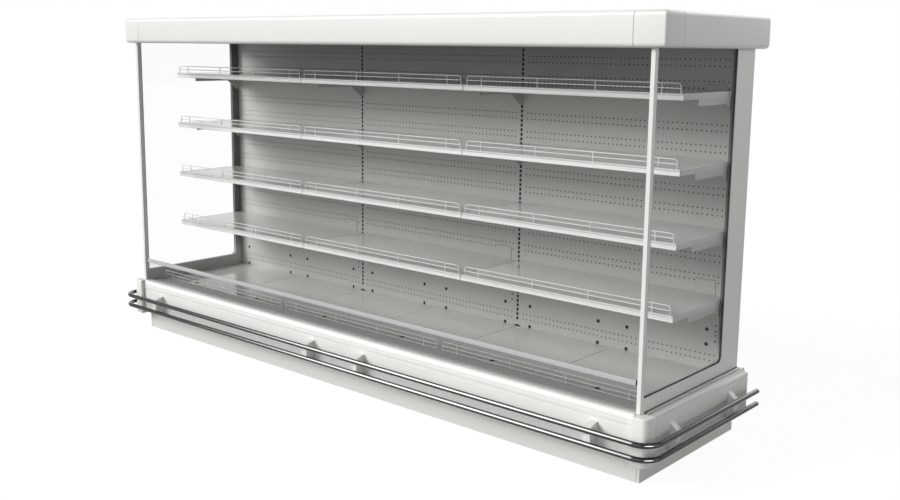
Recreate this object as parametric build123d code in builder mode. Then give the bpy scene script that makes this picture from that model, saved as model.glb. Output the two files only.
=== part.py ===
"""Open multideck display fridge: a 3.75 m remote refrigerated wall case with glazed ends.

Frame: origin on the floor under the middle of the case, +X along its length, -Y towards the
customer, +Z up.  All sizes are millimetres.
"""

from build123d import *

import os
from math import cos, radians, sin

# ---------------------------------------------------------------- driving dimensions

bay_length = 1250.0
bay_count = 3
case_height = 2044.0
deck_height = 329.0

# depths, counted from the front face of the perforated rear duct panels
duct_to_back = 155.0
body_rear = 128.0
duct_depth = 60.0
base_reach = 815.0
base_nose = 2.0
end_frame_reach = 789.0
glass_reach = 784.0
plinth_reach = 763.0
tub_reach = 790.0
cover_reach = 745.0
deck_reach = 655.5

# base
base_bottom = 118.0
tub_bottom = 130.0
tub_top = 303.0
tub_wall = 48.0
tub_floor = 176.0
gutter_floor = 164.0
gutter_reach = 560.0
gutter_half = 160.0
drain_radius = 25.0
drain_bore = 20.0
drain_length = 42.0
sill_top = 331.0
sill_lip_reach = 757.0
nose_radius = 27.0
groove_width = 3.0
groove_depth = 1.5
upper_groove = 297.0
lower_groove = 273.0
panel_foot = 14.0
plinth_board = 15.0
plinth_half = 1886.0
plinth_clearance = 3.0
block_length = 83.0
block_depth = 72.0
block_proud = 21.0
block_radius = 32.0
block_bottom = 106.0
block_edge = 3.0
block_fit = 1.0
lap_gap = 2.0
end_gap = 3.0
bead_inset = 3.0
bead_rise = 4.0
bead_end = 23.0
valley_inset = 26.0
valley_drop = 2.0
ridge_inset = 33.0
ridge_rise = 6.0
ridge_width = 4.0
shoulder_width = 14.0
shoulder_drop = 11.0
face_drop = 15.0
foot_pad_radius = 26.0
foot_pad_height = 12.0
foot_stem_radius = 8.0
foot_stations = (-1700.0, 0.0, 1700.0)
foot_rows = (-690.0, 50.0)

# bumper rails
rail_diameter = 25.0
rail_wall = 2.0
rail_facets = 12
rail_bend = 90.0
rail_front_standoff = 70.0
rail_side_standoff = 47.0
rail_upper = 229.5
rail_lower = 165.0
rail_rear = 137.0
bumper_width = 42.0
bumper_side_width = 38.0
bumper_front_spots = (-1675.0, -200.0, 200.0, 1675.0)
bumper_side_spots = (-622.0, -68.0)
bumper_front_top = 256.0
bumper_side_top = 268.0
bumper_lip = 10.0
bumper_lip_drop = 3.0

# end walls
frame_thickness = 20.0
frame_gap = 1.0
window_front = 772.0
window_rear = 50.0
window_bottom = 395.0
window_rear_radius = 45.0
window_front_radius = 14.0
gasket_width = 10.0
gasket_thickness = 16.0
pane_thickness = 12.0

# canopy
canopy_height = 154.0
canopy_reach = 830.0
canopy_overhang = 82.0
canopy_skin = 2.5
canopy_lap = 12.0
canopy_radius = 22.0
cap_length = 151.0
cap_depth = 155.0
rear_edge = 8.0
hollow_chamfer = 14.0
roof_slab = 42.0
rib_thickness = 10.0
ceiling_sheet = 3.0
beam_gap = 8.0
outlet_reach = 690.0
outlet_width = 100.0
honeycomb_height = 20.0
honeycomb_cells = 5
honeycomb_wall = 3.0
honeycomb_gap = 1.0
lamp_width = 30.0
lamp_height = 18.0
lamp_margin = 40.0
lamp_lens = 4.0

# rear duct and uprights
duct_sheet = 1.2
duct_flange = 14.0
duct_ledge = 18.0
upright_width = 36.0
upright_sheet = 2.0
upright_bottom = 342.0
end_upright_width = 18.0
slot_pitch = 25.4
slot_height = 17.0
slot_width = 14.0
end_slot_width = 10.0
slot_to_shelf = 2.8
slot_foot_margin = 50.0
slot_head_margin = 30.0

# shelves
shelf_rows = 4
shelf_head_room = 190.0
lowest_shelf = 706.0
shelf_depth = 500.0
shelf_rear_gap = 8.0
pan_gap = 1.0
pan_sheet = 1.5
pan_drop = 28.0
pan_notch = 9.0
seat_gap = 0.3
arm_plate = 3.0
arm_offset = 4.5
arm_length = 361.0
arm_height = 59.0
arm_heel = 119.0
arm_heel_flat = 16.0
arm_slope_start = 95.0
hook_slots = (1, 4)
hook_reach = 4.0
hook_drop = 5.0
hook_height = 11.0
hook_play = 0.2
price_rail_depth = 14.0
price_rail_height = 30.0
rail_lip_depth = 10.0
rail_lip_bulge = 11.5
rail_lip_edge = 2.0
rail_lip_height = 8.0
rail_channel_depth = 9.5
rail_slope_depth = 12.5
rail_slope_low = 24.5
rail_foot_height = 4.0
wire = 4.0
guard_half = 605.0
guard_height = 46.0
guard_middle = 22.5
guard_corner = 16.0
weld_gap = 0.05
guard_posts = (-510.0, -165.0, 165.0, 510.0)

# deck
deck_gap = 1.0
deck_sheet = 1.5
finger_hole_radius = 12.0
finger_hole_sides = 16
finger_hole_reach = 617.0
intake_gap = 8.0
cover_lip = 20.0
cover_leg = 590.0
deck_rear_gap = 3.0
deck_guard_reach = 662.0
deck_guard_height = 49.0
deck_guard_middle = 26.0

# front glass
glass_thickness = 6.0
glass_top = 470.0
glass_seat = 313.0
strip_top = 476.0
strip_height = 24.0
strip_thickness = 10.0
strip_half = 1866.0
fit_gap = 0.3
pane_gap = 1.0

# air system under the deck
fan_plate_height = 262.0
fan_plate_sheet = 2.0
fan_riser_reach = 420.0
fan_reach = 575.0
fan_orifice_radius = 97.0
fan_orifice_sides = 24
stator_bar = 10.0
stator_drop = 20.0
stator_radius = 32.0
stator_height = 40.0
rotor_radius = 90.0
hub_radius = 34.0
hub_height = 26.0
hub_facets = 12
blade_count = 5
blade_pitch = 32.0
blade_thickness = 2.5
blade_chord = 36.0
coil_length = 1120.0
coil_front_reach = 400.0
coil_rear_reach = 110.0
coil_top = 296.0
coil_lift = 8.0
coil_plate = 3.0
coil_edge = 6.0

# ---------------------------------------------------------------- derived positions

case_half = bay_length * bay_count / 2
canopy_bottom = case_height - canopy_height
front_overhang = base_reach + rail_front_standoff + rail_diameter / 2
duct_y = (duct_to_back + front_overhang) / 2 - duct_to_back
frame_inner = case_half + frame_gap
frame_outer = frame_inner + frame_thickness
side_face = case_half + canopy_overhang
tub_half = frame_outer - end_gap
well_half = tub_half - tub_wall
roof_reach = canopy_reach - side_face + frame_outer
roof_top = case_height - canopy_skin
rail_side = side_face + rail_side_standoff
rail_front_y = duct_y - base_reach - rail_front_standoff
slots_below_shelf = (lowest_shelf - slot_to_shelf - upright_bottom - slot_foot_margin) // slot_pitch
first_slot = lowest_shelf - slot_to_shelf - slot_pitch * slots_below_shelf
slot_count = 1 + int((canopy_bottom - slot_head_margin - first_slot) // slot_pitch)
shelf_span = (canopy_bottom - shelf_head_room - lowest_shelf) / (shelf_rows - 1)
shelf_pitch = slot_pitch * (shelf_span // slot_pitch)
bay_centres = [bay_length * (i - (bay_count - 1) / 2) for i in range(bay_count)]
bay_lines = [bay_length * (i - bay_count / 2) for i in range(bay_count + 1)]
shelf_tops = [lowest_shelf + shelf_pitch * row for row in range(shelf_rows)]
pan_front = shelf_depth + shelf_rear_gap - price_rail_depth
fan_spots = [(centre, -fan_reach) for centre in bay_centres]
os.makedirs("parts", exist_ok=True)


def save(piece, name):
    """Label one finished piece and write it as a STEP file of the same name."""
    piece.part.label = name
    export_step(piece.part, f"parts/{name}.step")


def outline(points):
    """Add a closed face with the given corners to the sketch that is being drawn."""
    with BuildSketch() as shape:
        with BuildLine():
            Polyline(*points, close=True)
        make_face()
    add(shape.sketch)


def section(x):
    """The YZ plane at a station along the case, with sketch x along +Y and sketch y up."""
    return Plane(origin=(x, duct_y, 0), x_dir=(0, 1, 0), z_dir=(1, 0, 0))


def cross_section(y):
    """The XZ plane at a depth counted from the duct face, sketch x along +X, y up."""
    return Plane(origin=(0, duct_y + y, 0), x_dir=(1, 0, 0), z_dir=(0, -1, 0))


def level(z):
    """The horizontal plane at a height, with its origin on the duct face line."""
    return Plane(origin=(0, duct_y, z), x_dir=(1, 0, 0), z_dir=(0, 0, 1))


# ---------------------------------------------------------------- base


def make_tub():
    """Insulated tub: outer box, well with a gutter that falls to the drain stub."""
    wall = [(-tub_reach, tub_bottom), (body_rear, tub_bottom), (body_rear, tub_top), (-tub_reach, tub_top)]
    well = [
        (-cover_reach, tub_top),
        (-cover_reach, tub_floor),
        (-gutter_reach - gutter_half, tub_floor),
        (-gutter_reach, gutter_floor),
        (-gutter_reach + gutter_half, tub_floor),
        (duct_depth, tub_floor),
        (duct_depth, tub_top),
    ]
    with BuildPart() as tub:
        with BuildSketch(section(-tub_half)):
            outline(wall)
        extrude(amount=2 * tub_half)
        with BuildSketch(section(-well_half)):
            outline(well)
        extrude(amount=2 * well_half, mode=Mode.SUBTRACT)
        with BuildSketch(level(tub_bottom - drain_length)):
            with Locations((0, -gutter_reach)):
                Circle(drain_radius)
        extrude(amount=drain_length)
        with BuildSketch(level(tub_bottom - drain_length)):
            with Locations((0, -gutter_reach)):
                Circle(drain_bore)
        extrude(amount=tub_floor - tub_bottom + drain_length, mode=Mode.SUBTRACT)
    save(tub, "base_tub")


def make_feet():
    """Levelling feet: octagonal pad and stem, the stem's head against the tub."""
    spots = [(x, y) for x in foot_stations for y in foot_rows]
    with BuildPart() as feet:
        with BuildSketch(level(0)):
            with Locations(*spots):
                RegularPolygon(foot_pad_radius, 8)
        extrude(amount=foot_pad_height)
        with BuildSketch(level(foot_pad_height)):
            with Locations(*spots):
                RegularPolygon(foot_stem_radius, 6)
        extrude(amount=tub_bottom - foot_pad_height)
    save(feet, "levelling_feet")


def make_plinth():
    """Four separate kick boards, closed up under the tub."""
    height = tub_bottom - plinth_clearance
    side_length = plinth_reach + body_rear - 2 * (plinth_board + fit_gap)
    with BuildPart() as plinth:
        with BuildSketch(level(plinth_clearance)):
            with Locations((0, -plinth_reach + plinth_board / 2), (0, body_rear - plinth_board / 2)):
                Rectangle(2 * plinth_half, plinth_board)
            with Locations(
                (-plinth_half + plinth_board / 2, (body_rear - plinth_reach) / 2),
                (plinth_half - plinth_board / 2, (body_rear - plinth_reach) / 2),
            ):
                Rectangle(plinth_board, side_length)
        extrude(amount=height)
    save(plinth, "plinth_boards")


def make_front_panel():
    """Moulded front: rolled nose, two fine grooves, sill with the glass channel."""
    nose = base_reach + base_nose
    inner = tub_reach
    slot_front = -glass_reach - glass_thickness / 2 - fit_gap
    slot_rear = -glass_reach + glass_thickness / 2 + fit_gap
    with BuildPart() as panel:
        with BuildSketch(section(end_gap - case_half)) as profile:
            outline(
                [
                    (-nose, lower_groove),
                    (-nose, sill_top),
                    (slot_front, sill_top),
                    (slot_front, glass_seat),
                    (slot_rear, glass_seat),
                    (slot_rear, sill_top),
                    (-sill_lip_reach, sill_top),
                    (-sill_lip_reach, tub_top),
                    (-inner, tub_top),
                    (-inner, base_bottom + panel_foot),
                    (-inner, base_bottom),
                    (-base_reach, base_bottom),
                    (-base_reach, lower_groove),
                ]
            )
            corner = profile.vertices().sort_by(Axis.Y)[-5:].sort_by(Axis.X)[0]
            fillet(corner, nose_radius)
            for height, face in ((upper_groove, nose), (lower_groove, nose)):
                with Locations((-face, height)):
                    Rectangle(2 * groove_depth, groove_width, mode=Mode.SUBTRACT)
        extrude(amount=2 * (case_half - end_gap))
    save(panel, "front_panel")


def make_side_panels():
    """Base end covers: bead, valley and ridge along the top, plain face below."""
    rear = body_rear - end_gap
    length = rear + base_reach + block_proud - block_depth - lap_gap
    profile = [
        (tub_half, base_bottom),
        (tub_half, tub_top - lap_gap),
        (frame_outer + bead_inset, tub_top - lap_gap),
        (frame_outer + bead_inset, deck_height),
        (frame_outer + 2 * bead_inset, deck_height + bead_rise),
        (frame_outer + bead_end, deck_height + bead_inset),
        (frame_outer + valley_inset, deck_height - valley_drop),
        (frame_outer + ridge_inset, deck_height + ridge_rise),
        (frame_outer + ridge_inset + ridge_width, deck_height + ridge_rise),
        (side_face - shoulder_width, deck_height - shoulder_drop),
        (side_face, deck_height - face_drop),
        (side_face, upper_groove + groove_width / 2),
        (side_face - groove_depth, upper_groove),
        (side_face, upper_groove - groove_width / 2),
        (side_face, base_bottom),
    ]
    with BuildPart() as panels:
        for side in (-1, 1):
            with BuildSketch(cross_section(rear)):
                outline([(side * x, z) for x, z in profile])
            extrude(amount=length)
    save(panels, "side_panels")


def make_corner_blocks():
    """Rounded corner mouldings that close the front panel and the side panels."""
    height = deck_height - block_bottom
    centre_x = side_face - block_length / 2
    centre_y = -base_reach - block_proud + block_depth / 2
    with BuildPart() as blocks:
        for side in (-1, 1):
            with BuildSketch(level(block_bottom)):
                with Locations((side * centre_x, centre_y)):
                    Rectangle(block_length, block_depth)
            extrude(amount=height)
        rounded = blocks.edges().filter_by(Axis.Z).group_by(Axis.Y)[0]
        outer = [edge for edge in rounded if abs(edge.center().X) > centre_x]
        fillet(outer, block_radius)
        chamfer(blocks.faces().sort_by(Axis.Z)[-2:].edges(), block_edge)
        for side in (-1, 1):
            with BuildSketch(level(block_bottom)):
                with Locations((side * frame_inner, -tub_reach + block_depth / 2 - fit_gap)):
                    Rectangle(2 * (frame_thickness + block_fit), block_depth)
            extrude(amount=height, mode=Mode.SUBTRACT)
    save(blocks, "corner_blocks")


def make_bumper_rails():
    """Two stainless tubes, bent round both front corners, open at their rear ends."""
    straight = rail_side - rail_bend
    leg_start = -base_reach - rail_front_standoff + rail_bend
    leg_length = rail_rear - leg_start
    radius = rail_diameter / 2
    with BuildPart() as rails:
        for height in (rail_upper, rail_lower):
            with BuildSketch(section(-straight)):
                with Locations((leg_start - rail_bend, height)):
                    RegularPolygon(radius, rail_facets)
            extrude(amount=2 * straight)
            for side in (-1, 1):
                centre = (side * straight, duct_y + leg_start, height)
                with BuildSketch(section(side * straight)):
                    with Locations((leg_start - rail_bend, height)):
                        RegularPolygon(radius, rail_facets)
                revolve(axis=Axis(centre, (0, 0, side)), revolution_arc=90)
                with BuildSketch(cross_section(leg_start)):
                    with Locations((side * rail_side, height)):
                        RegularPolygon(radius, rail_facets)
                extrude(amount=-leg_length)
                with BuildSketch(cross_section(leg_start)):
                    with Locations((side * rail_side, height)):
                        RegularPolygon(radius - rail_wall, rail_facets)
                extrude(amount=-leg_length, mode=Mode.SUBTRACT)
    save(rails, "bumper_rails")


def bumper_profile(face, axis, top_at_face):
    """Side view of one bumper bracket: sloped above, saddles cut for both tubes."""
    middle = (rail_upper + rail_lower) / 2
    reach = axis - bumper_lip
    top_at_rail = rail_upper + rail_diameter / 2 - bumper_lip_drop
    rise = top_at_face - middle
    lip = top_at_rail - middle
    outline(
        [
            (face, middle - rise),
            (face, middle + rise),
            (reach, middle + lip),
            (reach, middle - lip),
        ]
    )
    with Locations((axis, rail_upper), (axis, rail_lower)):
        RegularPolygon(rail_diameter / 2, rail_facets, mode=Mode.SUBTRACT)


def make_bumper_brackets():
    """Blocks that carry the tubes: four across the front, two on each side."""
    with BuildPart() as brackets:
        for x in bumper_front_spots:
            plane = Plane(origin=(x + bumper_width / 2, duct_y, 0), x_dir=(0, -1, 0), z_dir=(-1, 0, 0))
            with BuildSketch(plane):
                bumper_profile(base_reach, base_reach + rail_front_standoff, bumper_front_top)
            extrude(amount=bumper_width)
        for side in (-1, 1):
            for y in bumper_side_spots:
                rear = duct_y + y + side * bumper_side_width / 2
                plane = Plane(origin=(0, rear, 0), x_dir=(side, 0, 0), z_dir=(0, -side, 0))
                with BuildSketch(plane):
                    bumper_profile(side_face, rail_side, bumper_side_top)
                extrude(amount=bumper_side_width)
    save(brackets, "bumper_brackets")


# ---------------------------------------------------------------- rear wall, duct and uprights


def make_rear_wall():
    """Insulated back between the two end frames."""
    with BuildPart() as wall:
        with BuildSketch(level(tub_top)):
            with Locations((0, (duct_depth + body_rear) / 2)):
                Rectangle(2 * case_half, body_rear - duct_depth)
        extrude(amount=canopy_bottom - tub_top)
    save(wall, "rear_wall")


def make_duct_panels():
    """Rear duct sheets: sides folded back at the uprights, foot folded out under the deck."""
    with BuildPart() as panels:
        for i, centre in enumerate(bay_centres):
            left = end_upright_width if i == 0 else upright_width / 2
            right = end_upright_width if i == bay_count - 1 else upright_width / 2
            low = centre - bay_length / 2 + left + fit_gap
            high = centre + bay_length / 2 - right - fit_gap
            with BuildSketch(level(tub_top)):
                outline(
                    [
                        (low, 0),
                        (high, 0),
                        (high, duct_flange),
                        (high - duct_sheet, duct_flange),
                        (high - duct_sheet, duct_sheet),
                        (low + duct_sheet, duct_sheet),
                        (low + duct_sheet, duct_flange),
                        (low, duct_flange),
                    ]
                )
            extrude(amount=canopy_bottom - tub_top)
            ledge_low = max(low, -well_half + fit_gap)
            ledge_high = min(high, well_half - fit_gap)
            with BuildSketch(level(tub_top - duct_sheet)):
                with Locations(((ledge_low + ledge_high) / 2, (duct_sheet - duct_ledge) / 2)):
                    Rectangle(ledge_high - ledge_low, duct_sheet + duct_ledge)
            extrude(amount=duct_sheet)
    save(panels, "duct_panels")


def upright_slots(centre, width, heights):
    """Hook slots through one upright's web, centred at the given heights."""
    with BuildSketch(cross_section(upright_sheet)) as column:
        with Locations(*[(centre, height) for height in heights]):
            Rectangle(width, slot_height)
    extrude(column.sketch, amount=upright_sheet, mode=Mode.SUBTRACT)


def make_uprights():
    """Channels at every bay line, their flanges back to the insulated wall.

    The inner ones have a slot at every pitch; the half-width end ones only where arms hook in.
    """
    all_slots = [first_slot + slot_pitch * i for i in range(slot_count)]
    used_slots = [top - slot_to_shelf - slot_pitch * i for top in shelf_tops for i in hook_slots]
    with BuildPart() as uprights:
        for i, line in enumerate(bay_lines):
            at_end = i in (0, bay_count)
            width = end_upright_width if at_end else upright_width
            inward = 1 if i == 0 else -1
            centre = line + inward * width / 2 if at_end else line
            with BuildSketch(level(upright_bottom)):
                with Locations((centre, duct_depth / 2)):
                    Rectangle(width, duct_depth)
                with Locations((centre, (duct_depth + upright_sheet) / 2)):
                    Rectangle(width - 2 * upright_sheet, duct_depth - upright_sheet, mode=Mode.SUBTRACT)
            extrude(amount=canopy_bottom - upright_bottom)
        for i, line in enumerate(bay_lines):
            if i in (0, bay_count):
                inward = 1 if i == 0 else -1
                upright_slots(line + inward * (arm_offset + 2.0), end_slot_width, used_slots)
            else:
                upright_slots(line, slot_width, all_slots)
    save(uprights, "slotted_uprights")


def arm_outline(top):
    """Side view of one shelf arm: gusset at its heel, hooks through the upright's slots."""
    seat = top - pan_sheet - seat_gap
    outline(
        [
            (0, top - arm_heel),
            (-arm_heel_flat, top - arm_heel),
            (-arm_slope_start, top - arm_height),
            (-arm_length, top - arm_height),
            (-arm_length, seat),
            (0, seat),
        ]
    )
    for count in hook_slots:
        slot_low = top - slot_to_shelf - slot_pitch * count - slot_height / 2 + hook_play
        back = upright_sheet + hook_play
        outline(
            [
                (0, slot_low),
                (back, slot_low),
                (back, slot_low - hook_drop),
                (back + hook_reach, slot_low - hook_drop),
                (back + hook_reach, slot_low + hook_height - hook_reach),
                (back, slot_low + hook_height),
                (0, slot_low + hook_height),
            ]
        )


def make_shelf_brackets():
    """One arm at each end of every shelf, hooked into the slotted uprights."""
    with BuildPart() as arms:
        for centre in bay_centres:
            for side in (-1, 1):
                station = centre + side * (bay_length / 2 - arm_offset) - arm_plate / 2
                with BuildSketch(section(station)):
                    for top in shelf_tops:
                        arm_outline(top)
                extrude(amount=arm_plate)
    save(arms, "shelf_brackets")


# ---------------------------------------------------------------- canopy


def make_roof():
    """Insulated roof, front beam with the lamp recess, ceiling sheet and its ribs."""
    beam_rear = outlet_reach + beam_gap
    slab_low = roof_top - roof_slab
    lamp_y = -(roof_reach + beam_rear) / 2
    with BuildPart() as roof:
        with BuildSketch(section(-frame_outer)):
            outline(
                [
                    (-roof_reach, canopy_bottom),
                    (-roof_reach, roof_top),
                    (body_rear, roof_top),
                    (body_rear, canopy_bottom),
                    (duct_depth, canopy_bottom),
                    (duct_depth, slab_low),
                    (-beam_rear, slab_low),
                    (-beam_rear, canopy_bottom),
                ]
            )
            with Locations((lamp_y, canopy_bottom + lamp_height / 2)):
                Rectangle(lamp_width + 2 * fit_gap, lamp_height + 2 * fit_gap, mode=Mode.SUBTRACT)
        extrude(amount=2 * frame_outer)
        with BuildSketch(section(-frame_outer)):
            with Locations((-(outlet_reach - outlet_width) / 2, canopy_bottom + ceiling_sheet / 2)):
                Rectangle(outlet_reach - outlet_width, ceiling_sheet)
        extrude(amount=2 * frame_outer)
        for line in bay_lines:
            limit = frame_outer - rib_thickness / 2
            rib = max(min(line, limit), -limit)
            with BuildSketch(section(rib - rib_thickness / 2)):
                with Locations((-(outlet_reach - outlet_width) / 2, (canopy_bottom + slab_low) / 2)):
                    Rectangle(outlet_reach - outlet_width, slab_low - canopy_bottom)
            extrude(amount=rib_thickness)
    save(roof, "canopy_roof")


def trim_profile():
    """Section of the canopy trim: rounded outer skin with a top and a bottom return."""
    low_depth = canopy_reach - roof_reach
    top_depth = low_depth + canopy_lap
    middle = canopy_height / 2
    with BuildSketch() as hollow:
        with Locations((top_depth / 2 + canopy_skin, 0)):
            Rectangle(top_depth, canopy_height - 2 * canopy_skin)
        chamfer(hollow.vertices().group_by(Axis.X)[0], hollow_chamfer)
    with BuildSketch() as trim:
        with Locations((top_depth / 2, 0)):
            Rectangle(top_depth, canopy_height)
        fillet(trim.vertices().group_by(Axis.X)[0], canopy_radius)
        add(hollow.sketch, mode=Mode.SUBTRACT)
        with Locations((low_depth + canopy_lap / 2, canopy_skin / 2 - middle)):
            Rectangle(canopy_lap, canopy_skin, mode=Mode.SUBTRACT)
    return trim.sketch.moved(Location((0, canopy_bottom + middle, 0)))


def make_fascia():
    """Straight front length of the canopy trim, between the corner caps."""
    half = side_face - cap_length - fit_gap
    with BuildPart() as fascia:
        with BuildSketch(Plane(origin=(-half, duct_y - canopy_reach, 0), x_dir=(0, 1, 0), z_dir=(1, 0, 0))):
            add(trim_profile())
        extrude(amount=2 * half)
    save(fascia, "canopy_fascia")


def make_corner_caps():
    """Mitred corners of the canopy trim."""
    front = -canopy_reach
    with BuildPart() as caps:
        for side in (-1, 1):
            start = side * (side_face - cap_length)
            with BuildLine(level(0)) as route:
                Polyline((start, front), (side * side_face, front), (side * side_face, front + cap_depth))
            plane = Plane(origin=(start, duct_y + front, 0), x_dir=(0, 1, 0), z_dir=(1, 0, 0))
            with BuildSketch(plane):
                add(trim_profile())
            sweep(path=route.wires()[0], transition=Transition.RIGHT)
    save(caps, "canopy_corner_caps")


def make_canopy_sides():
    """Canopy end covers, hollow on the inside, with rounded rear corners."""
    front = -canopy_reach + cap_depth + fit_gap
    length = duct_to_back - front
    middle = canopy_bottom + canopy_height / 2
    width = side_face - frame_outer
    with BuildPart() as sides:
        for side in (-1, 1):
            with BuildSketch(section(side * frame_outer)) as face:
                with Locations((front + length / 2, middle)):
                    Rectangle(length, canopy_height)
                fillet(face.vertices().group_by(Axis.X)[-1], canopy_radius)
            extrude(amount=side * width)
        outer_faces = (sides.faces().sort_by(Axis.X)[0], sides.faces().sort_by(Axis.X)[-1])
        for face in outer_faces:
            rolled = [e for e in face.edges() if e.center().Y > duct_y + front + 1.0]
            chamfer(rolled, rear_edge)
        for side in (-1, 1):
            with BuildSketch(section(side * frame_outer)):
                with Locations((front + (length - canopy_radius) / 2, middle)):
                    Rectangle(length - canopy_radius, canopy_height - 2 * canopy_radius)
            extrude(amount=side * (width - canopy_skin), mode=Mode.SUBTRACT)
    save(sides, "canopy_side_covers")


def make_honeycombs():
    """Air outlet grids in the ceiling, behind the canopy's front beam."""
    length = bay_length - 2 * honeycomb_gap
    cell = (length - honeycomb_wall * (honeycomb_cells + 1)) / honeycomb_cells
    with BuildPart() as grids:
        for centre in bay_centres:
            with BuildSketch(level(canopy_bottom)):
                with Locations((centre, -outlet_reach + outlet_width / 2)):
                    Rectangle(length, outlet_width - 2 * fit_gap)
                    with GridLocations(cell + honeycomb_wall, outlet_width, honeycomb_cells, 1):
                        Rectangle(cell, outlet_width - 2 * honeycomb_wall, mode=Mode.SUBTRACT)
            extrude(amount=honeycomb_height)
    save(grids, "air_honeycombs")


def make_lamps():
    """Lamp bars set flush in the recess of the canopy's front beam."""
    lamp_y = -(roof_reach + outlet_reach + beam_gap) / 2
    with BuildPart() as lamps:
        for centre in bay_centres:
            with BuildSketch(section(centre - bay_length / 2 + lamp_margin)):
                outline(
                    [
                        (lamp_y - lamp_width / 2, canopy_bottom + lamp_lens),
                        (lamp_y - lamp_width / 2, canopy_bottom + lamp_height),
                        (lamp_y + lamp_width / 2, canopy_bottom + lamp_height),
                        (lamp_y + lamp_width / 2, canopy_bottom + lamp_lens),
                        (lamp_y + lamp_width / 3, canopy_bottom),
                        (lamp_y - lamp_width / 3, canopy_bottom),
                    ]
                )
            extrude(amount=bay_length - 2 * lamp_margin)
    save(lamps, "lamp_bars")


# ---------------------------------------------------------------- glazed ends


def window_face(inset):
    """The end window's outline, open to the top, drawn in by an inset."""
    front = -window_front + inset
    rear = -window_rear - inset
    low = window_bottom + inset
    with BuildSketch() as window:
        with Locations(((front + rear) / 2, (low + canopy_bottom) / 2)):
            Rectangle(rear - front, canopy_bottom - low)
        lower = window.vertices().group_by(Axis.Y)[0].sort_by(Axis.X)
        fillet(lower[0], window_front_radius - inset / 2)
        lower = window.vertices().group_by(Axis.Y)[0].sort_by(Axis.X)
        fillet(lower[-1], window_rear_radius - inset)
    return window.sketch


def make_end_frames():
    """End walls: wide rear post, bottom band and slim front post round the window."""
    with BuildPart() as frames:
        for side in (-1, 1):
            with BuildSketch(section(side * frame_inner)):
                with Locations(((body_rear - end_frame_reach) / 2, (tub_top + canopy_bottom) / 2)):
                    Rectangle(body_rear + end_frame_reach, canopy_bottom - tub_top)
                add(window_face(0), mode=Mode.SUBTRACT)
            extrude(amount=side * frame_thickness)
    save(frames, "end_frames")


def make_gaskets():
    """Dark edge seal between each end frame and its glazing."""
    middle = frame_inner + (frame_thickness - gasket_thickness) / 2
    with BuildPart() as gaskets:
        for side in (-1, 1):
            with BuildSketch(section(side * middle)):
                add(window_face(0))
                add(window_face(gasket_width), mode=Mode.SUBTRACT)
            extrude(amount=side * gasket_thickness)
    save(gaskets, "window_gaskets")


def make_end_glasses():
    """Insulating glass units of the end walls."""
    middle = frame_inner + (frame_thickness - pane_thickness) / 2
    with BuildPart() as panes:
        for side in (-1, 1):
            with BuildSketch(section(side * middle)):
                add(window_face(gasket_width))
            extrude(amount=side * pane_thickness)
    save(panes, "end_glasses")


# ---------------------------------------------------------------- front glass


def make_front_glass():
    """Low front glass, one pane to a bay, standing in the sill's channel."""
    with BuildPart() as panes:
        for i, centre in enumerate(bay_centres):
            low = -strip_half if i == 0 else centre - bay_length / 2 + pane_gap
            high = strip_half if i == bay_count - 1 else centre + bay_length / 2 - pane_gap
            with BuildSketch(level(glass_seat)):
                with Locations(((low + high) / 2, -glass_reach)):
                    Rectangle(high - low, glass_thickness)
            extrude(amount=glass_top - glass_seat)
    save(panes, "front_glass")


def make_glass_strip():
    """Metal capping along the top edge of the front glass."""
    groove = glass_thickness / 2 + fit_gap
    low = strip_top - strip_height
    half = strip_thickness / 2
    with BuildPart() as strip:
        with BuildSketch(section(-strip_half)):
            with Locations((-glass_reach, 0)):
                outline(
                    [
                        (-half, low),
                        (-half, strip_top),
                        (half, strip_top),
                        (half, low),
                        (groove, low),
                        (groove, glass_top),
                        (-groove, glass_top),
                        (-groove, low),
                    ]
                )
        extrude(amount=2 * strip_half)
    save(strip, "glass_capping")


# ---------------------------------------------------------------- shelves


def guard_comb(foot, height):
    """Flat view of a wire guard without its lengthwise wires: top hoop and its posts."""
    width = 2 * guard_half + wire
    with BuildSketch() as inside:
        with Locations((0, (height - wire) / 2)):
            Rectangle(width - 2 * wire, height - wire)
        chamfer(inside.vertices().group_by(Axis.Y)[-1], guard_corner - wire / 2)
    with BuildSketch() as comb:
        with Locations((0, height / 2)):
            Rectangle(width, height)
        chamfer(comb.vertices().group_by(Axis.Y)[-1], guard_corner)
        add(inside.sketch, mode=Mode.SUBTRACT)
        with Locations(*[(post, height / 2) for post in guard_posts]):
            Rectangle(wire, height)
    return comb.sketch.moved(Location((0, foot, 0)))


def shelf_pan(centre, top):
    """Folded shelf: top sheet, flanges on all sides, rear flange open at both arms."""
    width = bay_length - pan_gap
    depth = pan_front - shelf_rear_gap
    middle = -(pan_front + shelf_rear_gap) / 2
    with BuildPart() as pan:
        with BuildSketch(level(top - pan_drop)):
            with Locations((centre, middle)):
                Rectangle(width, depth)
        extrude(amount=pan_drop)
        with BuildSketch(level(top - pan_drop)):
            with Locations((centre, middle)):
                Rectangle(width - 2 * pan_sheet, depth - 2 * pan_sheet)
            notch = width / 2 - pan_sheet - pan_notch / 2
            with Locations((centre - notch, -shelf_rear_gap), (centre + notch, -shelf_rear_gap)):
                Rectangle(pan_notch, 4 * pan_sheet)
        extrude(amount=pan_drop - pan_sheet, mode=Mode.SUBTRACT)
    return pan


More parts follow.
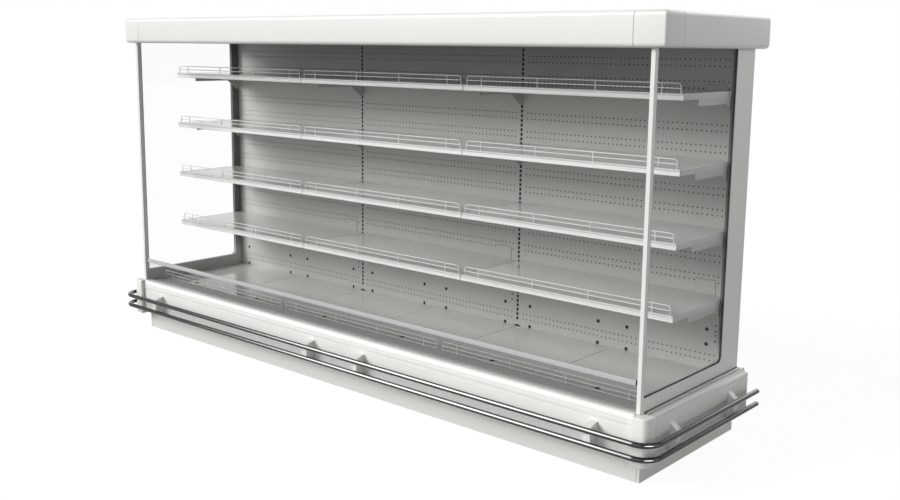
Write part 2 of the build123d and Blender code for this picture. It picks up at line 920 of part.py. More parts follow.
def shelf_front(centre, top):
    """Price rail along the shelf's front edge, and the wire guard that stands on it."""
    width = bay_length - pan_gap
    rail = [
        (0, 0),
        (-rail_lip_depth, 0),
        (-rail_lip_bulge, -rail_lip_edge),
        (-rail_lip_bulge, -rail_lip_height),
        (-rail_channel_depth, -rail_lip_height - rail_lip_edge),
        (-rail_slope_depth, -rail_slope_low),
        (-price_rail_depth, rail_foot_height - price_rail_height),
        (-price_rail_depth, -price_rail_height),
        (0, -price_rail_height),
    ]
    with BuildPart() as front:
        with BuildSketch(section(centre - width / 2)):
            outline([(-pan_front + y, top + z) for y, z in rail])
        extrude(amount=width)
        with BuildSketch(cross_section(-pan_front)):
            with Locations((centre, 0)):
                add(guard_comb(top + weld_gap, guard_height))
        extrude(amount=wire)
        with BuildSketch(section(centre - guard_half)):
            with Locations((-pan_front - 1.5 * wire - weld_gap, top + guard_middle)):
                Rectangle(wire, wire)
        extrude(amount=2 * guard_half)
    return front


def make_shelves():
    """Every shelf of every bay, its pan and its front edge in nodes of their own."""
    for row, top in enumerate(shelf_tops, start=1):
        for column, centre in enumerate(bay_centres, start=1):
            save(shelf_pan(centre, top), f"shelf_pan_r{row}_c{column}")
            save(shelf_front(centre, top), f"shelf_front_r{row}_c{column}")


# ---------------------------------------------------------------- deck


def make_deck_panels():
    """Lift-out deck trays, two to a bay, each with a finger hole near its front edge."""
    width = bay_length / 2 - deck_gap
    depth = deck_reach - deck_rear_gap
    middle = -(deck_reach + deck_rear_gap) / 2
    first = -case_half + bay_length / 4
    for i in range(2 * bay_count):
        centre = first + i * bay_length / 2
        with BuildPart() as tray:
            with BuildSketch(level(tub_top)):
                with Locations((centre, middle)):
                    Rectangle(width, depth)
            extrude(amount=deck_height - tub_top)
            with BuildSketch(level(tub_top)):
                with Locations((centre, middle)):
                    Rectangle(width - 2 * deck_sheet, depth - 2 * deck_sheet)
            extrude(amount=deck_height - tub_top - deck_sheet, mode=Mode.SUBTRACT)
            with BuildSketch(level(deck_height - deck_sheet)):
                with Locations((centre, -finger_hole_reach)):
                    RegularPolygon(finger_hole_radius, finger_hole_sides)
            extrude(amount=deck_sheet, mode=Mode.SUBTRACT)
        save(tray, f"deck_panel_{i + 1}")


def make_return_cover():
    """Folded cover in front of the deck, on end legs; air enters through the gap before it."""
    rear = -deck_reach - deck_gap
    front = -cover_reach + intake_gap
    foot = fan_plate_height + fan_plate_sheet
    width = bay_length - 2 * deck_gap
    with BuildPart() as cover:
        for centre in bay_centres:
            with BuildSketch(section(centre - width / 2)):
                outline(
                    [
                        (rear, tub_top),
                        (rear, deck_height),
                        (front, deck_height),
                        (front, deck_height - cover_lip),
                        (front + deck_sheet, deck_height - cover_lip),
                        (front + deck_sheet, deck_height - deck_sheet),
                        (rear - deck_sheet, deck_height - deck_sheet),
                        (rear - deck_sheet, tub_top),
                    ]
                )
            extrude(amount=width)
            for side in (-1, 1):
                with BuildSketch(section(centre + side * cover_leg)):
                    with Locations(((front + rear) / 2, (foot + deck_height - deck_sheet) / 2)):
                        Rectangle(rear - front - 2 * deck_sheet, deck_height - deck_sheet - foot)
                extrude(amount=side * deck_sheet)
    save(cover, "return_air_cover")


def make_deck_guards():
    """Wire guards that stand along the front of the deck."""
    lengthwise = (deck_height + wire / 2, deck_height + deck_guard_middle)
    with BuildPart() as guards:
        for centre in bay_centres:
            with BuildSketch(cross_section(-deck_guard_reach + wire / 2)):
                with Locations((centre, 0)):
                    add(guard_comb(deck_height, deck_guard_height))
            extrude(amount=wire)
            with BuildSketch(section(centre - guard_half)):
                with Locations(*[(-deck_guard_reach + wire + weld_gap, z) for z in lengthwise]):
                    Rectangle(wire, wire)
            extrude(amount=2 * guard_half)
    save(guards, "deck_wire_guards")


# ---------------------------------------------------------------- air system


def make_fan_tray():
    """Fan plate over the front of the well, its riser, and a stator on a bar at each fan."""
    plate_low = fan_plate_height
    bar_low = plate_low - stator_drop
    with BuildPart() as tray:
        with BuildSketch(section(-well_half)):
            outline(
                [
                    (-cover_reach, plate_low),
                    (-cover_reach, plate_low + fan_plate_sheet),
                    (-fan_riser_reach - fan_plate_sheet, plate_low + fan_plate_sheet),
                    (-fan_riser_reach - fan_plate_sheet, tub_top),
                    (-fan_riser_reach, tub_top),
                    (-fan_riser_reach, plate_low),
                ]
            )
        extrude(amount=2 * well_half)
        with BuildSketch(level(plate_low)):
            with Locations(*fan_spots):
                RegularPolygon(fan_orifice_radius, fan_orifice_sides)
        extrude(amount=fan_plate_sheet, mode=Mode.SUBTRACT)
        for x, y in fan_spots:
            tab = fan_orifice_radius + stator_bar / 2
            with BuildSketch(level(bar_low)):
                with Locations((x, y)):
                    Rectangle(2 * tab + stator_bar, 2 * stator_bar)
            extrude(amount=stator_bar / 2)
            with BuildSketch(level(bar_low)):
                with Locations((x - tab, y), (x + tab, y)):
                    Rectangle(stator_bar, 2 * stator_bar)
            extrude(amount=stator_drop)
            with BuildSketch(level(bar_low - stator_height)):
                with Locations((x, y)):
                    RegularPolygon(stator_radius, hub_facets)
            extrude(amount=stator_height)
    save(tray, "fan_tray")


def make_fan_rotor(index, x, y):
    """One axial rotor: hub over the stator and blades set at a pitch to the air."""
    low = fan_plate_height - stator_drop + stator_bar / 2 + fit_gap
    middle = low + hub_height / 2
    root_radius = hub_radius - blade_chord / 4
    with BuildPart() as rotor:
        with BuildSketch(level(low)):
            with Locations((x, y)):
                RegularPolygon(hub_radius, hub_facets)
        extrude(amount=hub_height)
        for k in range(blade_count):
            turn = radians(360.0 / blade_count * k)
            reach = Vector(cos(turn), sin(turn), 0)
            across = Vector(-sin(turn), cos(turn), 0)
            root = Vector(x, duct_y + y, middle) + reach * root_radius
            lean = across * cos(radians(blade_pitch)) + Vector(0, 0, sin(radians(blade_pitch)))
            with BuildSketch(Plane(origin=root, x_dir=lean, z_dir=reach)):
                Rectangle(blade_chord, blade_thickness)
            extrude(amount=rotor_radius - root_radius)
    save(rotor, f"fan_rotor_{index}")


def make_coils():
    """Evaporator coils behind the fans: finned block between two end plates."""
    low = tub_floor + coil_lift
    depth = coil_front_reach - coil_rear_reach
    middle = -(coil_front_reach + coil_rear_reach) / 2
    with BuildPart() as coils:
        for centre in bay_centres:
            with BuildSketch(level(low)):
                with Locations((centre, middle)):
                    Rectangle(coil_length, depth - 2 * coil_edge)
            extrude(amount=coil_top - low - coil_edge)
            with BuildSketch(level(tub_floor)):
                with Locations(
                    (centre - coil_length / 2 - coil_plate / 2, middle),
                    (centre + coil_length / 2 + coil_plate / 2, middle),
                ):
                    Rectangle(coil_plate, depth)
            extrude(amount=coil_top - tub_floor)
    save(coils, "evaporator_coils")


make_tub()
make_feet()
make_plinth()
make_front_panel()
make_side_panels()
make_corner_blocks()
make_bumper_rails()
make_bumper_brackets()
make_rear_wall()
make_duct_panels()
make_uprights()
make_shelf_brackets()
make_roof()
make_fascia()
make_corner_caps()
make_canopy_sides()
make_honeycombs()
make_lamps()
make_end_frames()
make_gaskets()
make_end_glasses()
make_front_glass()
make_glass_strip()
make_shelves()
make_deck_panels()
make_return_cover()
make_deck_guards()
make_fan_tray()
for number, spot in enumerate(fan_spots, start=1):
    make_fan_rotor(number, *spot)
make_coils()
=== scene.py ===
"""Looks of an open multideck display fridge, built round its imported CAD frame.

Sizes in the code are millimetres, with x along the case from its middle, y counted from the front
face of the perforated rear duct panels and z from the floor.  make() turns them into metres.
"""

import math

import bmesh
import bpy
import numpy as np
from mathutils import Matrix, Vector


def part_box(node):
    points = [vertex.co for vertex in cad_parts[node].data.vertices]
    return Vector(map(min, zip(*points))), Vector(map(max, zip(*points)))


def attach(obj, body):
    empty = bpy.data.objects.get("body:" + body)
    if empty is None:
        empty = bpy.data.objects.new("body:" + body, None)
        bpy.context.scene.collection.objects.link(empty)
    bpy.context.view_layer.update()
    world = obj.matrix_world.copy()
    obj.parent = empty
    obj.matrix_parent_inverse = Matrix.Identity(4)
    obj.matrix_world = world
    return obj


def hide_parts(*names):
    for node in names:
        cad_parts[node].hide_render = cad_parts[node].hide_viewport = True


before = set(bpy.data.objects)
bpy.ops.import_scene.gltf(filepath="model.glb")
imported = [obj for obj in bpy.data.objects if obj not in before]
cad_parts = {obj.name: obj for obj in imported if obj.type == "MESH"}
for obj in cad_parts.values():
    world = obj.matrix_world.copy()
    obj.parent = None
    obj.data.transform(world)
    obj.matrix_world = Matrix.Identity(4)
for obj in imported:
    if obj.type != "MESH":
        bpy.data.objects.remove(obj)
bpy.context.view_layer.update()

# ---------------------------------------------------------------- sizes

MILLIMETRE, METRE = 0.001, 1000  # a millimetre in metres, and a metre in millimetres
DUCT_Y = 371.25  # depth of the duct face in the CAD frame

BAY = 1250.0
BAYS = (-BAY, 0.0, BAY)
BAY_LINES = (-1.5 * BAY, -0.5 * BAY, 0.5 * BAY, 1.5 * BAY)
SLOT_PITCH = 25.4
LOWEST_SHELF, ROW_PITCH = 706.0, 13 * SLOT_PITCH
SHELF_TOPS = [round(LOWEST_SHELF + ROW_PITCH * row, 1) for row in range(4)]
PAN_FRONT, PAN_REAR = -494.0, -8.0
RAIL_HALF = 622.8

DECK = 329.0
TRAY_PITCH = 625.0
FINGER_Y = -617.0
GLASS_Y = -784.0  # middle of the front glass

SIDE = 1957.0  # outer face of the base and canopy ends
WALL_IN, WALL_OUT = 1876.0, 1896.0
WALL_LOW, WALL_REAR = 303.0, 128.0
CANOPY_LOW, CANOPY_TOP = 1890.0, 2044.0
CANOPY_FRONT, CANOPY_REAR = -830.0, 155.0
CANOPY_ROUND = 22.0
BASE_LOW = 118.0

TUBE_HEIGHTS = (229.5, 165.0)
TUBE_SIDE, TUBE_FRONT, TUBE_REAR = 2004.0, -885.0, 137.0
TUBE_BEND, TUBE_RADIUS, BORE_RADIUS = 90.0, 12.5, 10.5

PERFORATION_ROWS = (
    (374, 405), (768, 799), (871, 901), (1097, 1127), (1196, 1228), (1400, 1431), (1501, 1532), (1702, 1735),
    (1807, 1840),
)

# ---------------------------------------------------------------- surfaces


def soften(points, cut, steps=5):
    """Round a closed outline: a corner P between A and B, each `cut` away from it, gives way to the arc
    ((1-s)^2 A + 2w s(1-s) P + s^2 B) / ((1-s)^2 + 2w s(1-s) + s^2), w the sine of half its angle."""
    p = np.asarray(points, float)
    back, ahead = np.roll(p, 1, 0) - p, np.roll(p, -1, 0) - p
    long_back = np.linalg.norm(back, axis=1, keepdims=True)
    long_ahead = np.linalg.norm(ahead, axis=1, keepdims=True)
    back, ahead = back / long_back, ahead / long_ahead
    reach = np.broadcast_to(np.asarray(cut, float), len(p))[:, None]
    reach = np.minimum(reach, 0.5 * np.minimum(long_back, long_ahead))
    weight = np.sqrt((1 - (back * ahead).sum(1)) / 2)[:, None, None]
    s = np.linspace(0, 1, steps + 1)[None, :, None]
    a, b, c = (p + back * reach)[:, None], (p + ahead * reach)[:, None], p[:, None]
    share = 2 * weight * s * (1 - s)
    arc = (1 - s) ** 2 * a + share * c + s**2 * b
    return (arc / ((1 - s) ** 2 + share + s**2)).reshape(-1, p.shape[1])


def route(points, radius, steps=8):
    """An open path through the points, its inner corners rounded as soften() rounds an outline."""
    cut = np.full(len(points), float(radius))
    cut[[0, -1]] = 0
    whole = soften(points, cut, steps)
    return whole[steps : len(whole) - steps]


def loft(rings):
    """A closed skin over rings[i, j], the place of point j of ring i, with a flat cap on both ends."""
    rings = np.asarray(rings, float)
    m, n = rings.shape[:2]
    index = np.arange(m * n).reshape(m, n)
    near, far = index[:-1], index[1:]
    quads = np.stack([near, np.roll(near, -1, 1), np.roll(far, -1, 1), far], -1).reshape(-1, 4)
    return rings.reshape(-1, 3), quads, [index[0, ::-1].tolist(), index[-1].tolist()]


def prism(section, axis, ends):
    """A section in the other two axes, carried straight along one axis: point (ends[i], section[j])."""
    rings = np.empty((len(ends), len(section), 3))
    rings[..., axis] = np.asarray(ends, float)[:, None]
    rings[..., [k for k in range(3) if k != axis]] = section
    return loft(rings)


def box(low, high, cut=0.0):
    """A block between two corners, its upright edges rounded by cut."""
    (x0, y0, z0), (x1, y1, z1) = low, high
    return prism(soften([(x0, y0), (x1, y0), (x1, y1), (x0, y1)], cut), 2, (z0, z1))


def rounded(x0, x1, z0, z1, corner):
    """A rectangle with a square side at x0 and corners of one radius at x1."""
    return soften([(x0, z0), (x1, z0), (x1, z1), (x0, z1)], (0, corner, corner, 0), 8)


def tube(path, radius, normal, sides=10):
    """A round bar along a flat path: path[i] + radius[i] (cos a * side[i] + sin a * normal)."""
    path = np.asarray(path, float)
    ahead = np.gradient(path, axis=0)
    ahead /= np.linalg.norm(ahead, axis=1, keepdims=True)
    side = np.cross(ahead, normal)
    turn = np.linspace(0, 2 * np.pi, sides, endpoint=False)[None, :, None]
    spread = np.cos(turn) * side[:, None] + np.sin(turn) * np.asarray(normal, float)
    width = np.broadcast_to(np.asarray(radius, float), len(path))[:, None, None]
    return loft(path[:, None] + width * spread)


def dome(spot, radius, height, facing, sides=16, steps=5):
    """A low round cap on a face: radius cos t outwards and height sin t along the facing direction."""
    facing = np.asarray(facing, float)
    first = np.cross(facing, (0.0, 0.0, 1.0) if abs(facing[2]) < 0.5 else (1.0, 0.0, 0.0))
    second = np.cross(facing, first)
    t = np.linspace(0, 0.48 * np.pi, steps)
    t = np.concatenate([[0.0], t])[:, None, None]
    lift = np.concatenate([[-1.0], height * np.sin(t[1:, 0, 0])])[:, None, None]
    turn = np.linspace(0, 2 * np.pi, sides, endpoint=False)[None, :, None]
    ring = np.cos(turn) * first + np.sin(turn) * second
    return loft(np.asarray(spot, float) + radius * np.cos(t) * ring + lift * facing)


RIM = np.array([(1, 0), (1, 1), (0, 1), (-1, 1), (-1, 0), (-1, -1), (0, -1), (1, -1)])


def pierced(across, up, spots, hole, thickness):
    """A sheet on grid lines across[i] by up[j] at y from 0 to its thickness.  Round each spot (i, j) the
    four cells give way to eight faces between their rim and the hole's eight points hole[k]."""
    across, up, spots = np.asarray(across, float), np.asarray(up, float), np.asarray(spots, int)
    m, n, k = len(across), len(up), len(spots)
    flat = np.stack(np.meshgrid(across, up, indexing="ij"), -1).reshape(-1, 2)
    centre = np.stack([across[spots[:, 0]], up[spots[:, 1]]], -1)
    flat = np.concatenate([flat, (centre[:, None] + np.asarray(hole)).reshape(-1, 2)])
    index = np.arange(m * n).reshape(m, n)
    whole = np.ones((m - 1, n - 1), bool)
    for di in (-1, 0):
        for dj in (-1, 0):
            whole[spots[:, 0] + di, spots[:, 1] + dj] = False
    cells = np.stack([index[:-1, :-1], index[1:, :-1], index[1:, 1:], index[:-1, 1:]], -1)[whole]
    around = index[spots[:, :1] + RIM[:, 0], spots[:, 1:] + RIM[:, 1]]
    edge = m * n + np.arange(8 * k).reshape(k, 8)
    rings = np.stack([around, np.roll(around, -1, 1), np.roll(edge, -1, 1), edge], -1).reshape(-1, 4)
    front = np.concatenate([cells, rings])
    total = len(flat)
    following = np.roll(edge, -1, 1)
    bore = np.stack([edge, following, following + total, edge + total], -1).reshape(-1, 4)
    border = np.concatenate([index[:, 0], index[-1, 1:], index[-2::-1, -1], index[0, -2:0:-1]])
    wall = np.stack([border, np.roll(border, -1), np.roll(border, -1) + total, border + total], -1)
    quads = np.concatenate([front, front[:, ::-1] + total, bore, wall])
    used, quads = np.unique(quads, return_inverse=True)
    points = np.concatenate([np.insert(flat, 1, 0.0, 1), np.insert(flat, 1, thickness, 1)])
    return points[used], quads.reshape(-1, 4), []


def circle(radius):
    """Eight points round a circle, in the order of a pierced cell's rim."""
    turn = np.arange(8) * np.pi / 4
    return radius * np.stack([np.cos(turn), np.sin(turn)], -1)


# ---------------------------------------------------------------- pieces


def make(name, parts, finish, body="case", stands_for=(), edge=0.6, sharp=40.0):
    """One finished piece: the parts merged, faced outwards, its edges rounded, riding on its body."""
    starts = np.cumsum([0] + [len(points) for points, _, _ in parts])
    points = np.concatenate([points for points, _, _ in parts])
    faces = np.concatenate([quads + start for (_, quads, _), start in zip(parts, starts)]).tolist()
    for (_, _, caps), start in zip(parts, starts):
        faces += [[corner + start for corner in cap] for cap in caps]
    mesh = bpy.data.meshes.new(name)
    mesh.from_pydata((points + (0, DUCT_Y, 0)) * MILLIMETRE, [], faces)
    work = bmesh.new()
    work.from_mesh(mesh)
    bmesh.ops.remove_doubles(work, verts=work.verts, dist=2e-6)
    bmesh.ops.dissolve_degenerate(work, edges=work.edges, dist=1e-6)
    bmesh.ops.recalc_face_normals(work, faces=work.faces)
    work.to_mesh(mesh)
    work.free()
    mesh.shade_smooth()
    piece = bpy.data.objects.new(name, mesh)
    bpy.context.scene.collection.objects.link(piece)
    mesh.materials.append(finish)
    if edge:
        round_edges(piece, edge, sharp)
    else:
        mesh.set_sharp_from_angle(angle=math.radians(sharp))
    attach(piece, body)
    if stands_for:
        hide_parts(*stands_for)


def round_edges(piece, width, sharp=40.0):
    """Small rounds on every edge that turns by more than the sharp angle."""
    bevel = piece.modifiers.new("edge rounds", "BEVEL")
    bevel.width = width * MILLIMETRE
    bevel.segments = 2
    bevel.limit_method = "ANGLE"
    bevel.angle_limit = math.radians(sharp)
    bevel.harden_normals = True


def dress(node, finish, edge=0.0):
    """Give a CAD node its finish, and rounds on its edges by modifiers."""
    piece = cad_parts[node]
    piece.data.materials.clear()
    piece.data.materials.append(finish)
    if edge:
        weld = piece.modifiers.new("weld", "WELD")
        weld.merge_threshold = 1e-5
        flatten = piece.modifiers.new("flat faces", "DECIMATE")
        flatten.decimate_type = "DISSOLVE"
        flatten.angle_limit = math.radians(1.0)
        round_edges(piece, edge)


# ---------------------------------------------------------------- finishes


class Value:
    """A number that a shader socket gives; arithmetic on it adds Math nodes."""

    def __init__(self, finish, socket):
        self.finish, self.socket = finish, socket

    def math(self, operation, *values):
        return self.finish.add("ShaderNodeMath", {"operation": operation}, values)

    def __radd__(self, other):
        return self.math("ADD", other, self)

    def __sub__(self, other):
        return self.math("SUBTRACT", self, other)

    def __rsub__(self, other):
        return self.math("SUBTRACT", other, self)

    def __mul__(self, other):
        return self.math("MULTIPLY", self, other)

    def __rmul__(self, other):
        return self.math("MULTIPLY", other, self)


class Finish:
    """One material, its Principled shader and the one method that adds any other node."""

    def __init__(self, name, shader=None):
        self.material = bpy.data.materials.new(name)
        self.material.use_nodes = True
        self.tree = self.material.node_tree
        self.shader = self.tree.nodes["Principled BSDF"]
        for socket, value in (shader or {}).items():
            self.shader.inputs[socket].default_value = value

    def add(self, kind, settings=None, values=(), output=0):
        """Add a node: first its settings, then the values or links of its sockets by name or number."""
        node = self.tree.nodes.new(kind)
        for key, value in (settings or {}).items():
            setattr(node, key, value)
        for key, value in values.items() if isinstance(values, dict) else enumerate(values):
            self.join(value, node.inputs[key])
        return Value(self, node.outputs[output])

    def join(self, value, socket):
        """Set a socket to a plain value, or link it to the value of another node."""
        if isinstance(value, Value):
            self.tree.links.new(value.socket, socket)
        else:
            socket.default_value = value

    def drive(self, **sockets):
        """Let nodes drive the shader's sockets, given with underscores for spaces."""
        for name, value in sockets.items():
            self.join(value, self.shader.inputs[name.replace("_", " ")])

    def place(self):
        """Object coordinates, in metres."""
        return self.add("ShaderNodeTexCoord", output=3)

    def stretch(self, scale):
        """Object coordinates with each axis scaled."""
        sockets = {"Vector": self.place(), "Scale": scale}
        return self.add("ShaderNodeMapping", {"vector_type": "POINT"}, sockets)

    def noise(self, where, scale, detail=2.0):
        """Soft noise from 0 to 1."""
        return self.add("ShaderNodeTexNoise", None, {"Vector": where, "Scale": scale, "Detail": detail})

    def blend(self, share, first, second):
        """A mix of two colours by a share from 0 to 1."""
        return self.add("ShaderNodeMix", {"data_type": "RGBA"}, {0: share, 6: first, 7: second}, output=2)

    def bump(self, height, strength, distance):
        """A relief of the surface, its depth in metres."""
        sockets = {"Strength": strength, "Distance": distance, "Height": height}
        return self.add("ShaderNodeBump", None, sockets)


def tint(colour, factor):
    """A colour made lighter or darker by a factor."""
    return tuple(part * factor for part in colour) + (1.0,)


def paint(name, colour, roughness, relief=0.3, patches=0.03, gloss=0.5):
    """Stoved paint or moulded plastic: colour drifts a little in broad patches, the gloss varies with
    rubbed areas, and a fine grain stands up in relief."""
    finish = Finish(name, {"Specular IOR Level": gloss})
    where = finish.place()
    broad = finish.noise(where, 1.6, 3.0)
    rubbed = finish.noise(where, 14.0, 4.0)
    grain = finish.noise(where, 700.0, 2.0)
    finish.drive(
        Base_Color=finish.blend(broad, tint(colour, 1 - patches), tint(colour, 1 + patches)),
        Roughness=roughness + 0.3 * roughness * (rubbed - 0.5),
        Normal=finish.bump(grain, relief, 0.00012),
    )
    return finish.material


def painted_shade_by_height(name, low_colour, post_shade_colour, low, high):
    """Painted shade on a lining: over a short height, the colour of the bottom band gives way to a dark grey
    that stands in for the shade on the post.
    """
    finish = Finish(name)
    where = finish.place()
    height = finish.add("ShaderNodeSeparateXYZ", None, (where,), output=2)
    soft = {"interpolation_type": "SMOOTHSTEP"}
    share = finish.add("ShaderNodeMapRange", soft, (height, low, high, 0.0, 1.0))
    mottle = finish.noise(where, 30.0, 3.0)
    finish.drive(
        Base_Color=finish.blend(share, tint(low_colour, 1.0), tint(post_shade_colour, 1.0)),
        Roughness=0.42 + 0.1 * (mottle - 0.5),
        Normal=finish.bump(finish.noise(where, 700.0), 0.15, 0.0001),
    )
    return finish.material


def metal(name, colour, roughness, along, scratch=0.25):
    """Rolled or drawn metal: fine lines run along one axis, in the gloss and in a shallow relief."""
    finish = Finish(name, {"Metallic": 1.0})
    lines = finish.noise(finish.stretch(along), 1.0, 4.0)
    stain = finish.noise(finish.place(), 3.0, 3.0)
    finish.drive(
        Base_Color=finish.blend(stain, tint(colour, 0.93), tint(colour, 1.05)),
        Roughness=roughness + 0.14 * (lines - 0.5),
        Normal=finish.bump(lines, scratch, 0.00004),
    )
    return finish.material


def spangled(name, colour):
    """Hot-dip zinc: crystal patches from a cell pattern, each with its own grey and gloss."""
    finish = Finish(name, {"Metallic": 1.0})
    cell = finish.add("ShaderNodeTexVoronoi", None, {"Vector": finish.place(), "Scale": 90.0}, output=1)
    shade = finish.add("ShaderNodeSeparateColor", None, (cell,))
    finish.drive(
        Base_Color=finish.blend(shade, tint(colour, 0.75), tint(colour, 1.1)),
        Roughness=0.34 + 0.2 * shade,
    )
    return finish.material


def finned_with_painted_shade(name, colour):
    """Coil fins: painted shade in a thin gap after every fin along the coil, pressed into the surface too."""
    finish = Finish(name, {"Metallic": 0.9, "Roughness": 0.4})
    along = finish.add("ShaderNodeSeparateXYZ", None, (finish.place(),))
    wave = along.math("FRACT", along * 160.0)
    gap = wave.math("LESS_THAN", wave, 0.45)
    finish.drive(
        # painted shade: the gaps between fins are darkened in the base colour
        Base_Color=finish.blend(gap, tint(colour, 1.0), tint(colour, 0.12)),
        Normal=finish.bump(1.0 - gap, 0.8, 0.002),
    )
    return finish.material


def clear(name, colour, alpha):
    """Float glass: mostly see-through, with faint wiping marks in its gloss."""
    finish = Finish(name, {"Base Color": tint(colour, 1.0), "Alpha": alpha, "IOR": 1.5})
    marks = finish.noise(finish.stretch((3.0, 3.0, 9.0)), 1.0, 5.0)
    finish.drive(Roughness=0.02 + 0.06 * marks)
    return finish.material


def rubber(name, colour):
    """Dull seal: slightly mottled, with a fine grain."""
    finish = Finish(name)
    where = finish.place()
    bloom = finish.noise(where, 40.0, 3.0)
    finish.drive(
        Base_Color=finish.blend(bloom, tint(colour, 0.8), tint(colour, 1.3)),
        Roughness=0.62 + 0.2 * (bloom - 0.5),
        Normal=finish.bump(finish.noise(where, 1500.0), 0.3, 0.0001),
    )
    return finish.material


WHITE = (0.83, 0.83, 0.80)
# the interior's white paint made grey: partly painted shade for the shade inside the case
INSIDE_IN_SHADE = (0.52, 0.52, 0.50)
# white paint made grey; on the shelf sheets and the roof it is partly painted shade
PALE = (0.60, 0.60, 0.58)
canopy_metal = paint("canopy_metal", WHITE, 0.34, relief=0.12)
# painted shade: the roof's paint is a darker copy of the canopy's white, toning down the light that falls on
# top
roof_metal = paint("roof_metal", PALE, 0.65, relief=0.12, gloss=0.15)
moulding = paint("moulding", WHITE, 0.40, relief=0.5)
panel_white = paint("panel_white", INSIDE_IN_SHADE, 0.36, relief=0.2)
sheet_white = paint("sheet_white", PALE, 0.09, relief=0.0, gloss=0.35)
arm_paint = paint("arm_paint", INSIDE_IN_SHADE, 0.45, relief=0.2)
# painted shade: the return cover is coloured darker for the shade behind the front glass
return_cover_shade_grey = paint("return_cover_shade_grey", (0.41, 0.41, 0.40), 0.75, relief=0.1)
# painted shade: the end walls' lining is pale at the bottom band and dark up the rear post, where shade falls
liner_painted_shade = painted_shade_by_height("liner_painted_shade", (0.56, 0.56, 0.55), (0.15, 0.15, 0.145), 0.40, 0.56)
sandwich = paint("sandwich_panel", (0.74, 0.74, 0.71), 0.42, relief=0.25)
plinth = paint("plinth_board", (0.72, 0.72, 0.69), 0.45, relief=0.3)
bracket_moulding = paint("bracket_moulding", (0.78, 0.78, 0.75), 0.42, relief=0.5)
price_rail = paint("price_rail", PALE, 0.42, relief=0.1)
wire_steel = paint("wire", (0.74, 0.74, 0.72), 0.45, relief=0.0)
# base colour far darker than steel: painted shade standing in for dark surroundings in its reflections
steel = metal("polished_steel", (0.046, 0.046, 0.045), 0.13, (30.0, 30.0, 900.0), scratch=0.1)
aluminium = paint("capping_metal", (0.51, 0.51, 0.515), 0.40, relief=0.05)
foot_metal = metal("foot_metal", (0.45, 0.45, 0.45), 0.35, (300.0, 300.0, 900.0))
galvanised = spangled("galvanised", (0.55, 0.56, 0.57))
coil_fins = finned_with_painted_shade("coil_fins", (0.72, 0.73, 0.74))
end_glass = clear("end_glass", (0.62, 0.66, 0.64), 0.025)
# the dark tint is partly the glass's own, partly painted shade on what lies behind it
front_glass = clear("front_glass", (0.06, 0.066, 0.063), 0.12)
gasket = rubber("gasket", (0.022, 0.022, 0.021))
plug_black = rubber("plug_black", (0.008, 0.008, 0.008))
# black that stands in for shade, behind the duct holes and inside the uprights: painted shade
painted_shade_black = rubber("painted_shade_black", (0.012, 0.012, 0.012))
lamp = paint("lamp", (0.82, 0.82, 0.80), 0.25, relief=0.1)
grid_plastic = paint("grid_plastic", (0.45, 0.45, 0.44), 0.5, relief=0.4)
fan_plastic = paint("fan_plastic", (0.03, 0.03, 0.032), 0.45, relief=0.5)

# ---------------------------------------------------------------- canopy


def canopy():
    """Front trim, corner caps and end covers: one rounded section, with fine joints between lengths."""
    depth, lip, lip_low, trim_half = 61.0, 73.0, 2041.5, 1805.8
    trim = [
        (depth, CANOPY_LOW), (0, CANOPY_LOW), (0, CANOPY_TOP), (lip, CANOPY_TOP), (lip, lip_low),
        (depth, lip_low),
    ]
    trim = soften([(CANOPY_FRONT + a, z) for a, z in trim], (0, CANOPY_ROUND, CANOPY_ROUND, 0, 0, 0), 8)
    caps, covers = [], []
    for side in (-1, 1):
        caps.append(corner_cap(side, depth))
        covers.append(end_cover(side))
    for name, parts, node, edge, sharp in (
        ("canopy_front_trim", [prism(trim, 0, (-trim_half, trim_half))], "canopy_fascia", 2.2, 40.0),
        ("canopy_corners", caps, "canopy_corner_caps", 2.2, 40.0),
        ("canopy_end_covers", covers, "canopy_side_covers", 1.6, 50),
    ):
        make(name, parts, canopy_metal, stands_for=(node,), edge=edge, sharp=sharp)


def corner_cap(side, depth, turn=7.0, steps=6):
    """Trim section (inset a, height z) carried round the corner: at angle t its place is the centre
    (turn or a, whichever is more, in from both faces) plus what is left of turn - a, towards t."""
    section = [(depth, CANOPY_LOW), (0, CANOPY_LOW), (0, CANOPY_TOP), (depth, CANOPY_TOP)]
    section = soften(section, (0, CANOPY_ROUND, CANOPY_ROUND, 0), 8)
    inset, height = section[:, 0], section[:, 1]
    core, left = np.maximum(inset, turn), np.maximum(turn - inset, 0)
    t = np.linspace(0, np.pi / 2, steps + 1)[:, None]
    x = SIDE - core + left * np.sin(t)
    y = CANOPY_FRONT + core - left * np.cos(t)
    trim_joint, cover_joint = 1807.3, -675.6
    x = np.concatenate([np.full_like(x[:1], trim_joint), x, x[-1:]])
    y = np.concatenate([y[:1], y, np.full_like(y[:1], cover_joint)])
    return loft(np.stack([side * x, y, np.broadcast_to(height, x.shape)], -1))


def end_cover(side, face=6.0, steps=8):
    """End cover: towards its rear end its section runs on by radius sin t, drawn in by radius (1 - cos t)
    above and below but only by face (1 - cos t) at the side."""
    radius, start = CANOPY_ROUND, -674.8
    t = np.linspace(0, 0.49 * np.pi, steps + 1)
    inset = np.concatenate([[0.0], 1 - np.cos(t)])
    along = np.concatenate([[start], CANOPY_REAR - radius + radius * np.sin(t)])
    rings = []
    for i, y in zip(inset, along):
        low, high = CANOPY_LOW + radius * i, CANOPY_TOP - radius * i
        outline = rounded(WALL_OUT, SIDE - face * i, low, high, radius - (radius - face) * i)
        rings.append(np.stack([side * outline[:, 0], np.full(len(outline), y), outline[:, 1]], -1))
    return loft(np.array(rings))


# ---------------------------------------------------------------- base


